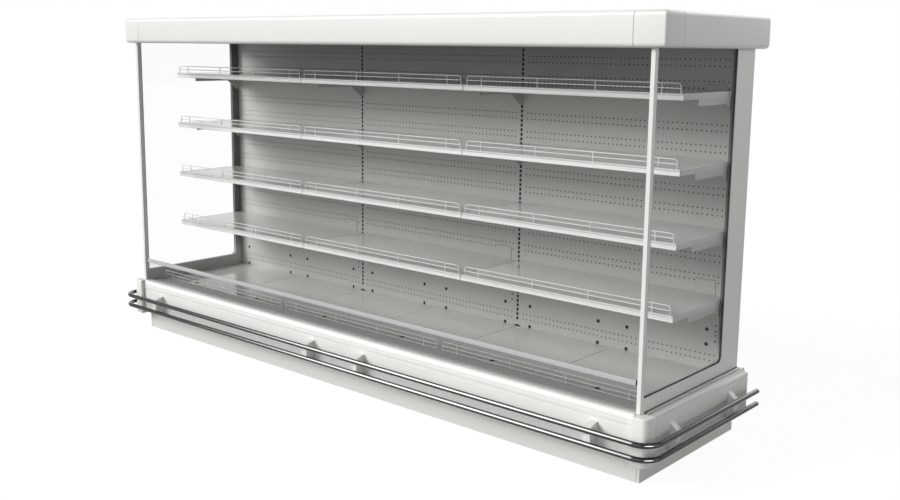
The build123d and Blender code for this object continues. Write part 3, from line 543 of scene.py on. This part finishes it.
def base_front():
    """Moulded front: rolled nose with two fine grooves, sill and glass channel."""
    face = [
        (-790, BASE_LOW), (-815, BASE_LOW), (-815, 270), (-811.8, 271.6), (-811.8, 274.4), (-816.4, 276),
        (-817, 293.4), (-813.6, 295), (-813.6, 298),
    ]
    roll = np.linspace(0, np.pi / 2, 14)
    nose = np.stack([-795 - 22 * np.cos(roll), 299.2 + 31.8 * np.sin(roll)], -1)
    sill = [
        (-787.3, 331), (-787.3, 313), (-780.7, 313), (-780.7, 331), (-757, 331), (-757, WALL_LOW),
        (-790, WALL_LOW),
    ]
    cut = [1, 3] + [0.5] * 7 + [0] * len(nose) + [0.4, 0, 0, 0.6, 2, 1, 0]
    section = soften(np.concatenate([face, nose, sill]), cut, 4)
    half = 1871.5
    parts = [prism(section, 0, (-half, half))]
    make("base_front_moulding", parts, moulding, stands_for=("front_panel",), edge=0, sharp=50)


def base_ends():
    """Moulded end covers with a bead, a valley and a ridge along the top and one fine groove."""
    profile = [
        (1893, BASE_LOW), (1893, 301), (1903.5, 301), (1903.5, 331), (1905.5, 334), (1915, 332),
        (1917.5, 320), (1923.5, 320), (1928, 335.5), (1935, 336), (1938.5, 325), (1944, 319),
        (SIDE, 316.5), (SIDE, 300.4),
        (1954, 299), (1954, 296), (SIDE, 294.6), (SIDE, BASE_LOW),
    ]
    section = soften(profile, [0, 0, 0, 1, 1, 1.2, 1, 1, 1.5, 1.5, 1, 2, 2, 0.5, 0.5, 0.5, 0.5, 2], 4)
    lip = [(1896.2, 303.5), (1903.2, 303.5), (1903.2, 331.0), (1899.5, 335.0), (1896.2, 335.0)]
    lip = soften(lip, (0, 0, 2, 2, 0), 4)
    covers, seals = [], []
    for side in (-1, 1):
        rings = [np.insert(section * (side, 1), 1, y, 1) for y in (-762.4, -742.0, 125.0)]
        rings[0][:, 2] = np.minimum(rings[0][:, 2], 327.0)
        covers.append(loft(rings))
        seals.append(prism(lip * (side, 1), 1, (-760, 124)))
    make("base_end_mouldings", covers, moulding, stands_for=("side_panels",), edge=0, sharp=50)
    # black strip in the narrow gap under each end frame: painted shade of that gap
    make("base_end_shade_strips", seals, gasket, edge=0)


def base_corners():
    """Corner mouldings: plan outline with one large radius, drawn in at the top and bottom edges."""
    blocks = []
    lift = np.array([0, 0.3, 0.6, 0.85, 1.0]) * np.pi / 2
    edge, foot, top, outer_round = 5.0, 106, 329, 32
    wall_side, wall_front = 1897.4, -790.2
    inset = np.concatenate([edge * (1 - np.sin(lift)), edge * (1 - np.cos(lift))])
    height = np.concatenate([foot + edge * (1 - np.cos(lift)), top - edge + edge * np.sin(lift)])
    for side in (-1, 1):
        rings = []
        for i, z in zip(inset, height):
            front, rear, inner = -836 + i, -763.8 - i, 1874.5 + i
            plan = [
                (inner, front), (SIDE - i, front), (SIDE - i, rear), (wall_side, rear),
                (wall_side, wall_front), (inner, wall_front),
            ]
            plan = soften(plan, (1.5, outer_round - i, 1.5, 0, 0, 0), 10)
            rings.append(np.stack([side * plan[:, 0], plan[:, 1], np.full(len(plan), z)], -1))
        blocks.append(loft(np.array(rings)))
    make("base_corner_mouldings", blocks, moulding, stands_for=("corner_blocks",), edge=0)


def bumper_tubes():
    """Two tubes bent round the front corners; the bore shows at their open rear ends."""
    side, front, rear = TUBE_SIDE, TUBE_FRONT, TUBE_REAR
    corners = [(-side, rear), (-side, front), (side, front), (side, rear)]
    bore_depth = 60.0
    tubes = []
    for z in TUBE_HEIGHTS:
        line = route([(x, y, z) for x, y in corners], TUBE_BEND, 12)
        bore = np.array([bore_depth, 0.0])
        first = line[:1] - (0, 1, 0) * bore[:, None]
        last = line[-1:] - (0, 1, 0) * bore[::-1, None]
        radius = np.concatenate([[BORE_RADIUS] * 2, np.full(len(line), TUBE_RADIUS), [BORE_RADIUS] * 2])
        tubes.append(tube_with_bore(np.concatenate([first, line, last]), radius))
    make("bumper_tubes", tubes, steel, stands_for=("bumper_rails",), edge=0, sharp=50)


def tube_with_bore(line, radius):
    """A round tube whose first and last rings turn back into its bore."""
    sides, count = 28, len(line)
    ahead = np.gradient(line[2:-2], axis=0)
    ahead /= np.linalg.norm(ahead, axis=1, keepdims=True)
    ahead = np.concatenate([ahead[:1], ahead[:1], ahead, ahead[-1:], ahead[-1:]])
    side = np.cross(ahead, (0.0, 0.0, 1.0))
    turn = np.linspace(0, 2 * np.pi, sides, endpoint=False)[None, :, None]
    spread = np.cos(turn) * side[:, None] + np.sin(turn) * np.array((0.0, 0.0, 1.0))
    return loft(line[:, None] + radius.reshape(count, 1, 1) * spread)


# ---------------------------------------------------------------- rear wall inside


def duct_sheets():
    """Perforated rear sheets, one to a bay: pairs of hole rows at a 26 mm pitch, sides folded back."""
    parts, linings = [], []
    columns, half_pitch, hole_radius = 46, 13.0, 4.2
    beside_line, clear_of_row, sheet, fold = 18.3, 15, 1.2, 14.0
    for i, centre in enumerate(BAYS):
        low, high = BAY_LINES[i] + beside_line, BAY_LINES[i + 1] - beside_line
        lines = np.concatenate([[low], centre + np.arange(-columns, columns + 1) * half_pitch, [high]])
        rows = np.array(PERFORATION_ROWS, float)
        middle = rows.mean(1, keepdims=True)
        lower, upper = rows[:, :1], rows[:, 1:]
        bands = np.concatenate([lower - clear_of_row, lower, middle, upper, upper + clear_of_row], 1)
        up = np.concatenate([[WALL_LOW], bands.reshape(-1), [CANOPY_LOW]])
        across = 2 + 2 * np.arange(columns)
        pairs = 5 * np.arange(len(rows))
        level = np.concatenate([pairs + 2, pairs + 4])
        spots = np.stack(np.meshgrid(across, level, indexing="ij"), -1).reshape(-1, 2)
        parts.append(pierced(lines, up, spots, circle(hole_radius), sheet))
        # a black backing right behind each sheet: painted shade of the dark duct seen through the holes
        linings.append(box((low + 1.4, 1.6, WALL_LOW + 1), (high - 1.4, 4.0, CANOPY_LOW - 1)))
        for x in (low, high - sheet):
            parts.append(box((x, 1.3, WALL_LOW), (x + sheet, fold, CANOPY_LOW)))
    make("duct_sheets", parts, panel_white, stands_for=("duct_panels",), edge=0, sharp=30)
    make("duct_shade_backing", linings, painted_shade_black, edge=0)


def uprights():
    """Channels with a slot at every 25.4 mm, with black painted shade filling them behind; the end ones are
    half as wide.
    """
    parts, shade_fill = [], []
    count, lowest_slot, foot = 60, 373.0, 336.0
    half_slot_height, sheet, depth = 8.5, 2.0, 55.5
    slots = lowest_slot + SLOT_PITCH * np.arange(count)
    half_pitch = SLOT_PITCH / 2
    between = np.stack([slots - half_pitch, slots], 1).reshape(-1)
    up = np.concatenate([[foot], between, [slots[-1] + half_pitch, CANOPY_LOW]])
    spots = np.stack([np.full(count, 2), 2 + 2 * np.arange(count)], 1)
    for i, line in enumerate(BAY_LINES):
        if i in (0, 3):
            inward, half_slot = (1 if i == 0 else -1), 4.8
            across = np.sort([line + inward * x for x in (0.2, 1.2, 6.8, 12.6, 18)])
        else:
            half_slot = 7.2
            across = np.array([-18.0, -10.0, 0.0, 10.0, 18.0]) + line
        parts.append(pierced(across, up, spots, RIM * (half_slot, half_slot_height), sheet))
        for x in (across[0], across[-1] - sheet):
            parts.append(box((x, 2.1, foot), (x + sheet, depth, CANOPY_LOW)))
        # black filling in each channel: painted shade seen through the slots
        shade_fill.append(box((across[0] + 2.1, 7.0, 343.0), (across[-1] - 2.1, 40.0, CANOPY_LOW - 1)))
    node = ("slotted_uprights",)
    make("upright_channels", parts, panel_white, stands_for=node, edge=0, sharp=30)
    make("upright_shade_fill", shade_fill, painted_shade_black, edge=0)


def duct_fittings():
    """Black plugs in the sheets' pipe holes, and the small cover plates screwed over their openings.
    At the right end one plug sits higher than in the other bays."""
    plugs, plates, seals, screws = [], [], [], []
    low_plug, high_plug, last_x, last_z = 338, 455, 1788, 530
    for centre in BAYS:
        for x in (-538, -88, 88, 538):
            for z in (low_plug, high_plug):
                if (centre + x, z) != (last_x, low_plug):
                    plugs.append(dome((centre + x, 0, z), 10.0, 1.6, (0, -1, 0)))
        for z in (476, 506, 527, 557):
            plugs.append(dome((centre + 585, 0, z), 5.0, 1.0, (0, -1, 0)))
    plugs.append(dome((last_x, 0, last_z), 10.0, 1.6, (0, -1, 0)))
    openings = (
        (1718, 1823, 1690, 1721), (465, 572, 702, 778), (1715, 1822, 702, 778), (-785, -678, 702, 778),
    )
    for x0, x1, z0, z1 in openings:
        plates.append(box((x0, -2.0, z0), (x1, -0.9, z1)))
        # a dark rim 1.2 mm wider than each plate: painted shade of the shadow line round its edge
        seals.append(box((x0 - 1.2, -1.0, z0 - 1.2), (x1 + 1.2, 0, z1 + 1.2)))
        for x in (x0 + 7, x1 - 7):
            screws.append(dome((x, -2.0, (z0 + z1) / 2), 2.6, 1.1, (0, -1, 0), 12, 4))
    make("duct_plugs", plugs, plug_black, edge=0, sharp=60)
    make("duct_cover_plates", plates, panel_white, edge=0.3)
    make("cover_plate_shade_rims", seals, gasket, edge=0)
    make("cover_plate_screws", screws, foot_metal, edge=0, sharp=60)


# ---------------------------------------------------------------- shelves and deck


def guard(centre, foot, height, middle, y, low_wire=None):
    """Wire guard: a hoop with rounded ends, posts under it and lengthwise wires welded across them."""
    wire, thin_wire, normal = 2.3, 1.6, (0.0, 1.0, 0.0)
    top = foot + height
    half, ahead = 605, y - 3.4
    hoop = route([(-half, y, foot), (-half, y, top), (half, y, top), (half, y, foot)], 18.0, 6)
    parts = [tube(hoop + (centre, 0, 0), wire, normal, 10)]
    for x in (-510, -165, 165, 510):
        parts.append(tube([(centre + x, y, foot), (centre + x, y, top)], wire, normal, 8))
    lengthwise = [(middle, wire)] + ([(low_wire, thin_wire)] if low_wire else [])
    for z, radius in lengthwise:
        parts.append(tube([(centre - half, ahead, z), (centre + half, ahead, z)], radius, (0.0, 0.0, 1.0), 8))
    return parts


def folded(centre, half, front, rear, top, drop, sheet, bend=3.0):
    """Folded sheet: its top and side flanges as one bent strip carried from front to rear."""
    outer = [(-half, -drop), (-half, 0), (half, 0), (half, -drop)]
    within = half - sheet
    inner = [(within, -drop), (within, -sheet), (-within, -sheet), (-within, -drop)]
    cut = (0, bend, bend, 0, 0, bend - sheet, bend - sheet, 0)
    return prism(soften(outer + inner, cut, 5) + (centre, top), 1, (front, rear))


def shelf_pan(row, column, centre, top):
    """Shelf sheet with its side flanges, a front flange, and a rear flange that stops short of both arms."""
    low, under, rear_half = top - 28, top - 1.6, 612.0
    parts = [
        folded(centre, 624.4, PAN_FRONT, PAN_REAR, top, 28.0, 1.5),
        box((centre - RAIL_HALF, PAN_FRONT, low), (centre + RAIL_HALF, PAN_FRONT + 1.5, under)),
        box((centre - rear_half, PAN_REAR - 1.5, low), (centre + rear_half, PAN_REAR, under)),
    ]
    place = f"r{row}_c{column}"
    body, node = f"shelf_{place}", f"shelf_pan_{place}"
    make(f"shelf_sheet_{place}", parts, sheet_white, body, (node,), edge=0, sharp=50)


def deck_tray(k):
    """Deck tray: pierced sheet laid flat between bent sides and ends, and a finger cup whose black
    is painted shade of the well under the hole.
    """
    centre, half, front, rear, bend = TRAY_PITCH * (k - 2.5), 310.9, -655.5, -3.0, 2.6
    left, right, near, far = centre - half + bend, centre + half - bend, front + bend, rear - bend
    across = centre + np.array([bend - half, -17.0, 0.0, 17.0, half - bend])
    along = [near, FINGER_Y - 17.0, FINGER_Y, FINGER_Y + 17.0, far]
    sheet, faces, caps = pierced(across, along, [(2, 2)], circle(12.0), 1.5)
    parts = [(sheet[:, [0, 2, 1]] * (1, 1, -1) + (0, 0, DECK), faces, caps)]
    edge = [(0, -26), (0, 0), (bend, 0), (bend, -1.5), (1.5, -1.5), (1.5, -26)]
    edge = soften(edge, (0, bend, 0, 0, 1.4, 0), 5)
    for side in (-1, 1):
        parts.append(prism(edge * (-side, 1) + (centre + side * half, DECK), 1, (near, far)))
    for place, way in ((front, 1), (rear, -1)):
        parts.append(prism(edge * (way, 1) + (place, DECK), 0, (left, right)))
    body, node = f"deck_tray_{k + 1}", f"deck_panel_{k + 1}"
    make(f"deck_sheet_{k + 1}", parts, sheet_white, body, (node,), edge=0, sharp=50)
    # the cup's black stands in for the dark well under the finger hole: painted shade
    cup = [
        (0.02, -13.0), (9.6, -13.0), (10.6, -12.0), (11.0, 0.1), (11.6, 0.7), (13.4, 0.7), (14.2, 0.05),
        (11.9, -0.2), (11.6, -14.5), (0.02, -14.5),
    ]
    parts = [turned(cup, (centre, FINGER_Y, DECK))]
    make(f"finger_cup_{k + 1}", parts, plug_black, body, edge=0, sharp=60)


def turned(profile, spot, sides=28):
    """A profile (radius, height) turned about the upright line through a spot."""
    radius, height = np.array(profile).T[:, :, None]
    turn = np.linspace(0, 2 * np.pi, sides, endpoint=False)[None]
    rings = np.stack([radius * np.cos(turn), radius * np.sin(turn), height + 0 * turn], -1)
    return loft(rings + np.asarray(spot, float))


def shelf_edge(row, column, centre, top):
    """Price rail of one shelf, its clips, and the wire guard that stands on it."""
    place = f"r{row}_c{column}"
    body, node = f"shelf_{place}", f"shelf_front_{place}"
    rail = [
        (-494.2, 0), (-504.5, 0), (-506.6, -2), (-506.6, -7), (-503.6, -8.2), (-503.6, -10), (-506.4, -24.5),
        (-508, -26), (-508, -30), (-494.2, -30),
    ]
    rail = soften([(y, top + z) for y, z in rail], (0.5, 1.5, 1.5, 1, 0.8, 1, 2, 1, 1, 0.5), 4)
    parts = [prism(rail, 0, (centre - RAIL_HALF, centre + RAIL_HALF))]
    make(f"price_rail_{place}", parts, price_rail, body, (node,), edge=0.3, sharp=60)
    wires = guard(centre, top, 44.0, top + 22.5, -496.0)
    make(f"wire_guard_{place}", wires, wire_steel, body, edge=0, sharp=60)
    clips = [dome((centre + x, -504.8, top - 15.5), 2.2, 1.4, (0, -1, 0), 10, 4) for x in (-580, -10, 566)]
    make(f"rail_clips_{place}", clips, grid_plastic, body, edge=0, sharp=60)


def deck_guards():
    """The deck's three wire guards."""
    parts = []
    for centre in BAYS:
        parts += guard(centre, DECK, 49.5, 357.5, -662.0, 336.0)
    make("deck_guards", parts, wire_steel, stands_for=("deck_wire_guards",), edge=0, sharp=60)


def front_pane():
    """Front glass in one length, standing where the CAD's panes stand."""
    corners = (np.array(corner) * METRE - (0, DUCT_Y, 0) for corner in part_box("front_glass"))
    (x0, y0, z0), (x1, y1, z1) = corners
    pane = soften([(y0, z0), (y1, z0), (y1, z1), (y0, z1)], 0.4, 2)
    parts = [prism(pane, 0, (x0, x1))]
    make("front_pane", parts, front_glass, stands_for=("front_glass",), edge=0)


def return_joints():
    """Fine bright joint strips between the three lengths of the return cover."""
    strips = [box((x - 1.0, -737.0, 320.0), (x + 1.0, -656.5, DECK + 0.4), 0.2) for x in BAY_LINES[1:3]]
    make("return_cover_joints", strips, price_rail, edge=0)


def capping():
    """Metal capping on the front glass, with a moulded stop on both ends."""
    front, rear, low, high, half = GLASS_Y - 5, GLASS_Y + 5, 452.0, 476.0, 1858.8
    section = soften([(front, low), (front, high), (rear, high), (rear, low)], (0.8, 1.2, 1.2, 0.8), 4)
    bar = [prism(section, 0, (-half, half))]
    node = ("glass_capping",)
    make("glass_capping_bar", bar, aluminium, stands_for=node, edge=0.3, sharp=60)
    for name, finish, slot, x, width in (
        ("capping_ends", moulding, "moulding", 1859.0, 3.0),
        ("capping_end_stops", gasket, "gasket", 1862.0, 4.0),
    ):
        blocks = [box((side, front, low), (side + width, rear, high)) for side in (x, -x - width)]
        make(name, blocks, finish, edge=0.4)


# ---------------------------------------------------------------- glazed ends


def end_walls():
    """End frames as one U round the window, seals along the window's reveal, a lining of painted shade (pale
    at the bottom band, dark up the post) on the inner side of the rear post, the bottom band and the reveal,
    and the panes."""
    front, rear, low, high, seal_width, gap = -771.0, -50.0, 396.0, CANOPY_LOW, 3, 3.1
    post = [
        (-789, WALL_LOW), (WALL_REAR, WALL_LOW), (WALL_REAR, high), (rear, high), (rear, low), (front, low),
        (front, high), (-797, high), (-797, 331.5), (-789, 331.5),
    ]
    post = soften(post, (1, 1, 0, 0, 32, 6, 0, 0, 0, 0), 8)
    inner_front, inner_rear, inner_low = front + seal_width, rear - seal_width, low + seal_width
    seal = [
        (rear, high), (rear, low), (front, low), (front, high), (inner_front, high), (inner_front, inner_low),
        (inner_rear, inner_low), (inner_rear, high),
    ]
    seal = soften(seal, (0, 32, 6, 0, 0, 3, 29, 0), 8)
    lining = [
        (-788, WALL_LOW), (-0.6, WALL_LOW), (-0.6, high), (inner_rear, high), (inner_rear, inner_low),
        (-788, inner_low),
    ]
    lining = soften(lining, (0, 0, 0, 0, 29, 0), 8)
    pane = [(front + gap, low + gap), (rear - gap, low + gap), (rear - gap, high), (front + gap, high)]
    pane = soften(pane, (3, 29, 0, 0), 8)
    for name, layers, finish, slot, node, edge in (
        ("end_wall_frames", [(post, (WALL_IN, WALL_OUT))], moulding, "moulding", ("end_frames",), 1.2),
        ("window_seals", [(seal, (1884, 1894.8))], gasket, "gasket", ("window_gaskets",), 0.4),
        (
            # a sheet of painted shade over the inner side of the end walls
            "end_wall_shade_linings", [(lining, (1874.9, WALL_IN)), (seal, (1876.1, 1883.9))],
            liner_painted_shade, "moulding", (), 0,
        ),
        ("end_panes", [(pane, (1879, 1891))], end_glass, "end_glass", ("end_glasses",), 0),
    ):
        parts = [prism(section, 0, [side * x for x in ends]) for side in (-1, 1) for section, ends in layers]
        make(name, parts, finish, stands_for=node, edge=edge)


def plinth_joints():
    """Dark joint lines of the plinth, where the ends of its side boards show beside the front board."""
    lines = [box((x - 0.7, -763.3, 3.0), (x + 0.7, -762.9, 117.5)) for x in (-1870.0, 1870.0)]
    make("plinth_joints", lines, gasket, edge=0)


def rear_joints():
    """Cover strips over the joints of the insulated rear wall, and their screws."""
    strips, screws = [], []
    strip_rear = 129.2
    for x in BAY_LINES[1:3]:
        strips.append(box((x - 20, WALL_REAR, 330), (x + 20, strip_rear, 1885), 1.0))
        for z in np.linspace(380, 1840, 6):
            screws.append(dome((x, strip_rear, z), 4.0, 1.6, (0, 1, 0), 12, 4))
    make("rear_joint_strips", strips, sandwich, edge=0.4)
    make("rear_screws", screws, foot_metal, edge=0, sharp=60)


# ---------------------------------------------------------------- carried over from the CAD


def carried_over():
    """CAD nodes whose shape is right: each gets its finish and small rounds."""
    for node, finish, edge in (
        ("base_tub", sandwich, 1.5),
        ("levelling_feet", foot_metal, 1.0),
        ("plinth_boards", plinth, 0.8),
        ("bumper_brackets", bracket_moulding, 2.0),
        ("rear_wall", sandwich, 1.5),
        ("shelf_brackets", arm_paint, 0.4),
        ("canopy_roof", roof_metal, 0.8),
        ("air_honeycombs", grid_plastic, 0.3),
        ("lamp_bars", lamp, 0.8),
        ("return_air_cover", return_cover_shade_grey, 0.3),
        ("evaporator_coils", coil_fins, 0.0),
        ("fan_tray", galvanised, 0.3),
        ("fan_rotor_1", fan_plastic, 0.5),
        ("fan_rotor_2", fan_plastic, 0.5),
        ("fan_rotor_3", fan_plastic, 0.5),
    ):
        dress(node, finish, edge)


# ---------------------------------------------------------------- studio


def studio():
    """Pale floor, white surroundings, a broad soft lamp from the front left and three weak ones; four more
    lamps are linked to the bumper tubes alone, whose polish shows them as long bright glints."""
    world = bpy.data.worlds.new("studio")
    bpy.context.scene.world = world
    world.use_nodes = True
    nodes, links = world.node_tree.nodes, world.node_tree.links
    nodes.clear()
    path = nodes.new("ShaderNodeLightPath")
    shown, lit = nodes.new("ShaderNodeBackground"), nodes.new("ShaderNodeBackground")
    shown.inputs["Color"].default_value = (1, 1, 1, 1)
    lit.inputs["Color"].default_value = (1, 1, 0.99, 1)
    lit.inputs["Strength"].default_value = 0.09
    seen = [path.outputs[name] for name in ("Is Camera Ray", "Is Glossy Ray", "Is Transmission Ray")]
    for k in (1, 2):
        either = nodes.new("ShaderNodeMath")
        either.operation = "MAXIMUM"
        links.new(seen[0], either.inputs[0])
        links.new(seen[k], either.inputs[1])
        seen[0] = either.outputs[0]
    mix, out = nodes.new("ShaderNodeMixShader"), nodes.new("ShaderNodeOutputWorld")
    for k, source in enumerate((seen[0], lit.outputs[0], shown.outputs[0])):
        links.new(source, mix.inputs[k])
    links.new(mix.outputs[0], out.inputs[0])

    mesh = bpy.data.meshes.new("floor")
    far = 40
    mesh.from_pydata([(-far, -far, 0), (far, -far, 0), (far, far, 0), (-far, far, 0)], [], [(0, 1, 2, 3)])
    floor = bpy.data.objects.new("floor", mesh)
    bpy.context.scene.collection.objects.link(floor)
    mesh.materials.append(floor_finish())

    polished = bpy.data.collections.new("polished")
    polished.objects.link(bpy.data.objects["bumper_tubes"])
    for name, energy, angle, towards in (
        ("key", 3.0, 30, (0.61, 0.635, -0.43)),
        ("front", 0.66, 40, (0.0, 0.95, -0.25)),
        ("fill", 0.86, 40, (-0.96, -0.1, -0.08)),
        ("back", 1.1, 40, (0.0, -0.95, -0.3)),
        ("long_glint_low", 2.6, 28, (0.58, 0.803, -0.141)),
        ("long_glint_middle", 2.6, 28, (0.58, 0.659, -0.479)),
        ("long_glint_high", 2.6, 28, (0.58, 0.383, -0.719)),
        ("bend_glint", 15.0, 44, (-0.87, 0.49, -0.05)),
    ):
        light = bpy.data.objects.new(name, bpy.data.lights.new(name, "SUN"))
        light.data.energy = energy
        light.data.angle = math.radians(angle)
        light.rotation_euler = Vector(towards).to_track_quat("-Z", "Y").to_euler()
        if "glint" in name:
            light.light_linking.receiver_collection = polished
        bpy.context.scene.collection.objects.link(light)


def floor_finish():
    """Floor: mid grey for the light that it gives back; as it is seen, mostly white, with the shadow."""
    finish = Finish("floor", {"Base Color": (0.18, 0.18, 0.18, 1), "Roughness": 0.9})
    tree = finish.tree
    white = finish.add("ShaderNodeEmission", None, {"Color": (1, 1, 1, 1), "Strength": 0.94})
    matt = finish.add("ShaderNodeBsdfDiffuse", None, {"Color": (0.12, 0.12, 0.12, 1)})
    seen = finish.add("ShaderNodeAddShader", None, (white, matt))
    camera_ray, glossy_ray, clear_ray = (
        finish.add("ShaderNodeLightPath", output=f"Is {ray} Ray")
        for ray in ("Camera", "Glossy", "Transmission")
    )
    path = camera_ray.math("MAXIMUM", camera_ray.math("MAXIMUM", camera_ray, glossy_ray), clear_ray)
    lit = Value(finish, finish.shader.outputs[0])
    both = finish.add("ShaderNodeMixShader", None, {0: path, 1: lit, 2: seen})
    tree.links.new(both.socket, tree.nodes["Material Output"].inputs[0])
    return finish.material


def camera():
    """View from the front right at a height of 1.9 m, looking a little down, for a 900 by 500 picture."""
    data = bpy.data.cameras.new("camera")
    data.lens, data.sensor_width = 41.4416, 36.0
    data.shift_x, data.shift_y = 0.010856, -0.034233
    data.clip_end = 200.0
    view = bpy.data.objects.new("camera", data)
    yaw, pitch, roll = (math.radians(a) for a in (41.399, 9.52, 0.552))
    level = math.cos(pitch)
    ahead = Vector((-math.sin(yaw) * level, math.cos(yaw) * level, -math.sin(pitch)))
    right = Vector((math.cos(yaw), math.sin(yaw), 0.0))
    up = right.cross(ahead)
    tilted_right = right * math.cos(roll) + up * math.sin(roll)
    tilted_up = up * math.cos(roll) - right * math.sin(roll)
    facing = Matrix((tilted_right, tilted_up, -ahead)).transposed().to_4x4()
    view.matrix_world = Matrix.Translation((4.0637, -4.19845, 1.8925)) @ facing
    bpy.context.scene.collection.objects.link(view)
    bpy.context.scene.camera = view


canopy()
base_front()
base_ends()
base_corners()
bumper_tubes()
duct_sheets()
uprights()
duct_fittings()
for row, top in enumerate(SHELF_TOPS, start=1):
    for column, centre in enumerate(BAYS, start=1):
        shelf_pan(row, column, centre, top)
        shelf_edge(row, column, centre, top)
for k in range(6):
    deck_tray(k)
deck_guards()
front_pane()
return_joints()
capping()
end_walls()
plinth_joints()
rear_joints()
carried_over()
studio()
camera()
bpy.context.scene.view_settings.view_transform = "Standard"
